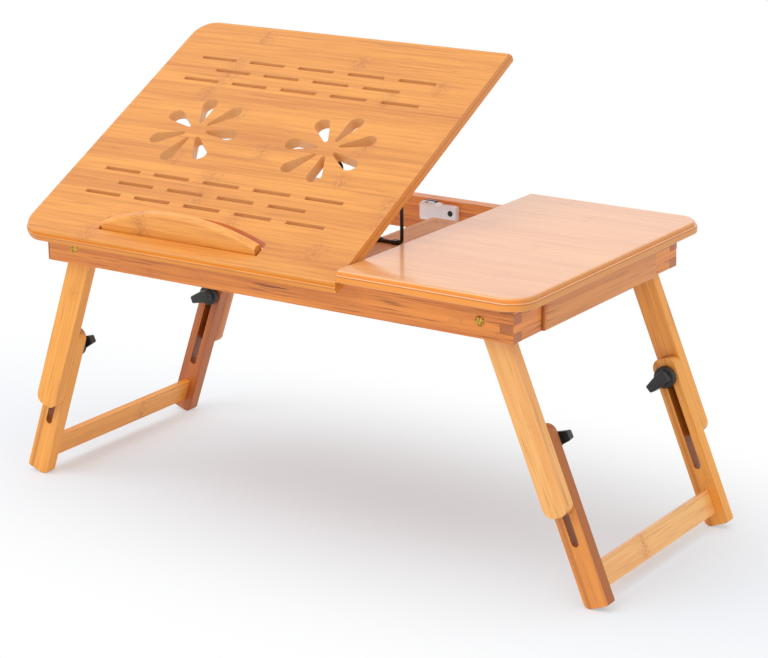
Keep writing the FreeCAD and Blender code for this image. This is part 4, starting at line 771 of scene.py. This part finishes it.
for side, (gold, knuckle_at) in CROSS_BARS.items():
    bar_look = bamboo_look("bamboo_stretcher_" + side, *gold, ALONG_Y, LEG_END, LEG_VEIN, Knuckle_At=knuckle_at,
                           **BAR_GRAIN)
    dress(side + "_stretcher", bar_look, LEG_EASED)
    dress(side + "_stretcher_dowels", inner_y)


# ---- Leg clamps --------------------------------------------------------------
# On each leg a black winged knob on a steel stud, with a black washer, draws
# the slotted lower leg against the brass insert in the upper one.

KNOB_AT = {"left": (-245.363, 122.844, 160), "right": (237.126, 124.995, 136)}
FRONT_TURN = -25
KNOB_FAR, KNOB_NEAR = 96.2, 84.0
HUB_RADIUS, HUB_LONG = 9.5, 5.0
HUB_PROFILE = ((0.5, -HUB_LONG), (0, 0.5 - HUB_LONG), (0, -1.2), (0.35, -0.35), (1.2, 0), (3.2, 0.35),
               (HUB_RADIUS, 0.5))
HUB_SIDES = 48
WING_BACK, WING_REACH = 6.8, 15.3
WING_HEEL_HALF, WING_ROOT_HALF, WING_TIP_HALF = 2.4, 6.2, 4.1
WING_HEEL_CUT, WING_TIP_CUT, WING_ROOT_TO = 1.6, 0.8, 2.0
WING_SUNK, WING_FALL, WING_DRAFT = 0.6, 0.9, 0.82
WING_EASED, WING_EASE_STEPS = 0.7, 3
KNOB_SMOOTH = 35


def winged_knob():
    """A knob along Z: a hub from 0 up, and on it a thick wing that reaches out along X."""
    profile = [(HUB_RADIUS - inward, HUB_LONG + up) for inward, up in HUB_PROFILE]
    knob = turned_part([(0, 0)] + profile, steps=HUB_SIDES)
    wing = bmesh.new()
    one_side = [(-WING_BACK, WING_HEEL_HALF), (WING_HEEL_CUT - WING_BACK, WING_ROOT_HALF),
                (WING_ROOT_TO, WING_ROOT_HALF), (WING_REACH - WING_TIP_CUT, WING_TIP_HALF),
                (WING_REACH, WING_TIP_HALF - WING_TIP_CUT)]
    outline = [(x, -y) for x, y in one_side] + one_side[::-1]
    face = wing.faces.new([wing.verts.new((x, y, HUB_LONG - WING_SUNK)) for x, y in outline])
    risen = bmesh.ops.extrude_face_region(wing, geom=[face])
    lifted = [item for item in risen["geom"] if isinstance(item, bmesh.types.BMVert)]
    for corner in lifted:
        corner.co.z = KNOB_FAR - KNOB_NEAR - WING_FALL * max(0.0, corner.co.x) / WING_REACH
        corner.co.y *= WING_DRAFT
    upper = [edge for edge in wing.edges if edge.verts[0] in lifted and edge.verts[1] in lifted]
    bmesh.ops.bevel(wing, geom=upper, offset=WING_EASED, offset_type="OFFSET", segments=WING_EASE_STEPS, profile=0.5,
                    affect="EDGES", material=-1)
    add_mesh(knob, wing)
    return knob


for side, (x, z, angle) in KNOB_AT.items():
    dress(side + "_clamp_inserts", brass_look)
    dress(side + "_clamp_washers", wire_look)
    for end, face in (("front", -1), ("back", 1)):
        inward = Matrix(((1, 0, 0), (0, 0, -face), (0, 1, 0))).to_4x4()
        pointed = Matrix.Rotation(math.radians(-FRONT_TURN if end == "front" else -angle), 4, "Z")
        knob_mesh = bmesh.new()
        add_mesh(knob_mesh, winged_knob(), Matrix.Translation((x, face * KNOB_FAR, z)) @ inward @ pointed)
        new_piece(side + "_" + end + "_winged_knob", knob_mesh, black_look, side + "_" + end + "_knob",
                  side + "_" + end + "_clamp_knob", smooth=KNOB_SMOOTH)
        dress(side + "_" + end + "_clamp_stud", steel_look)
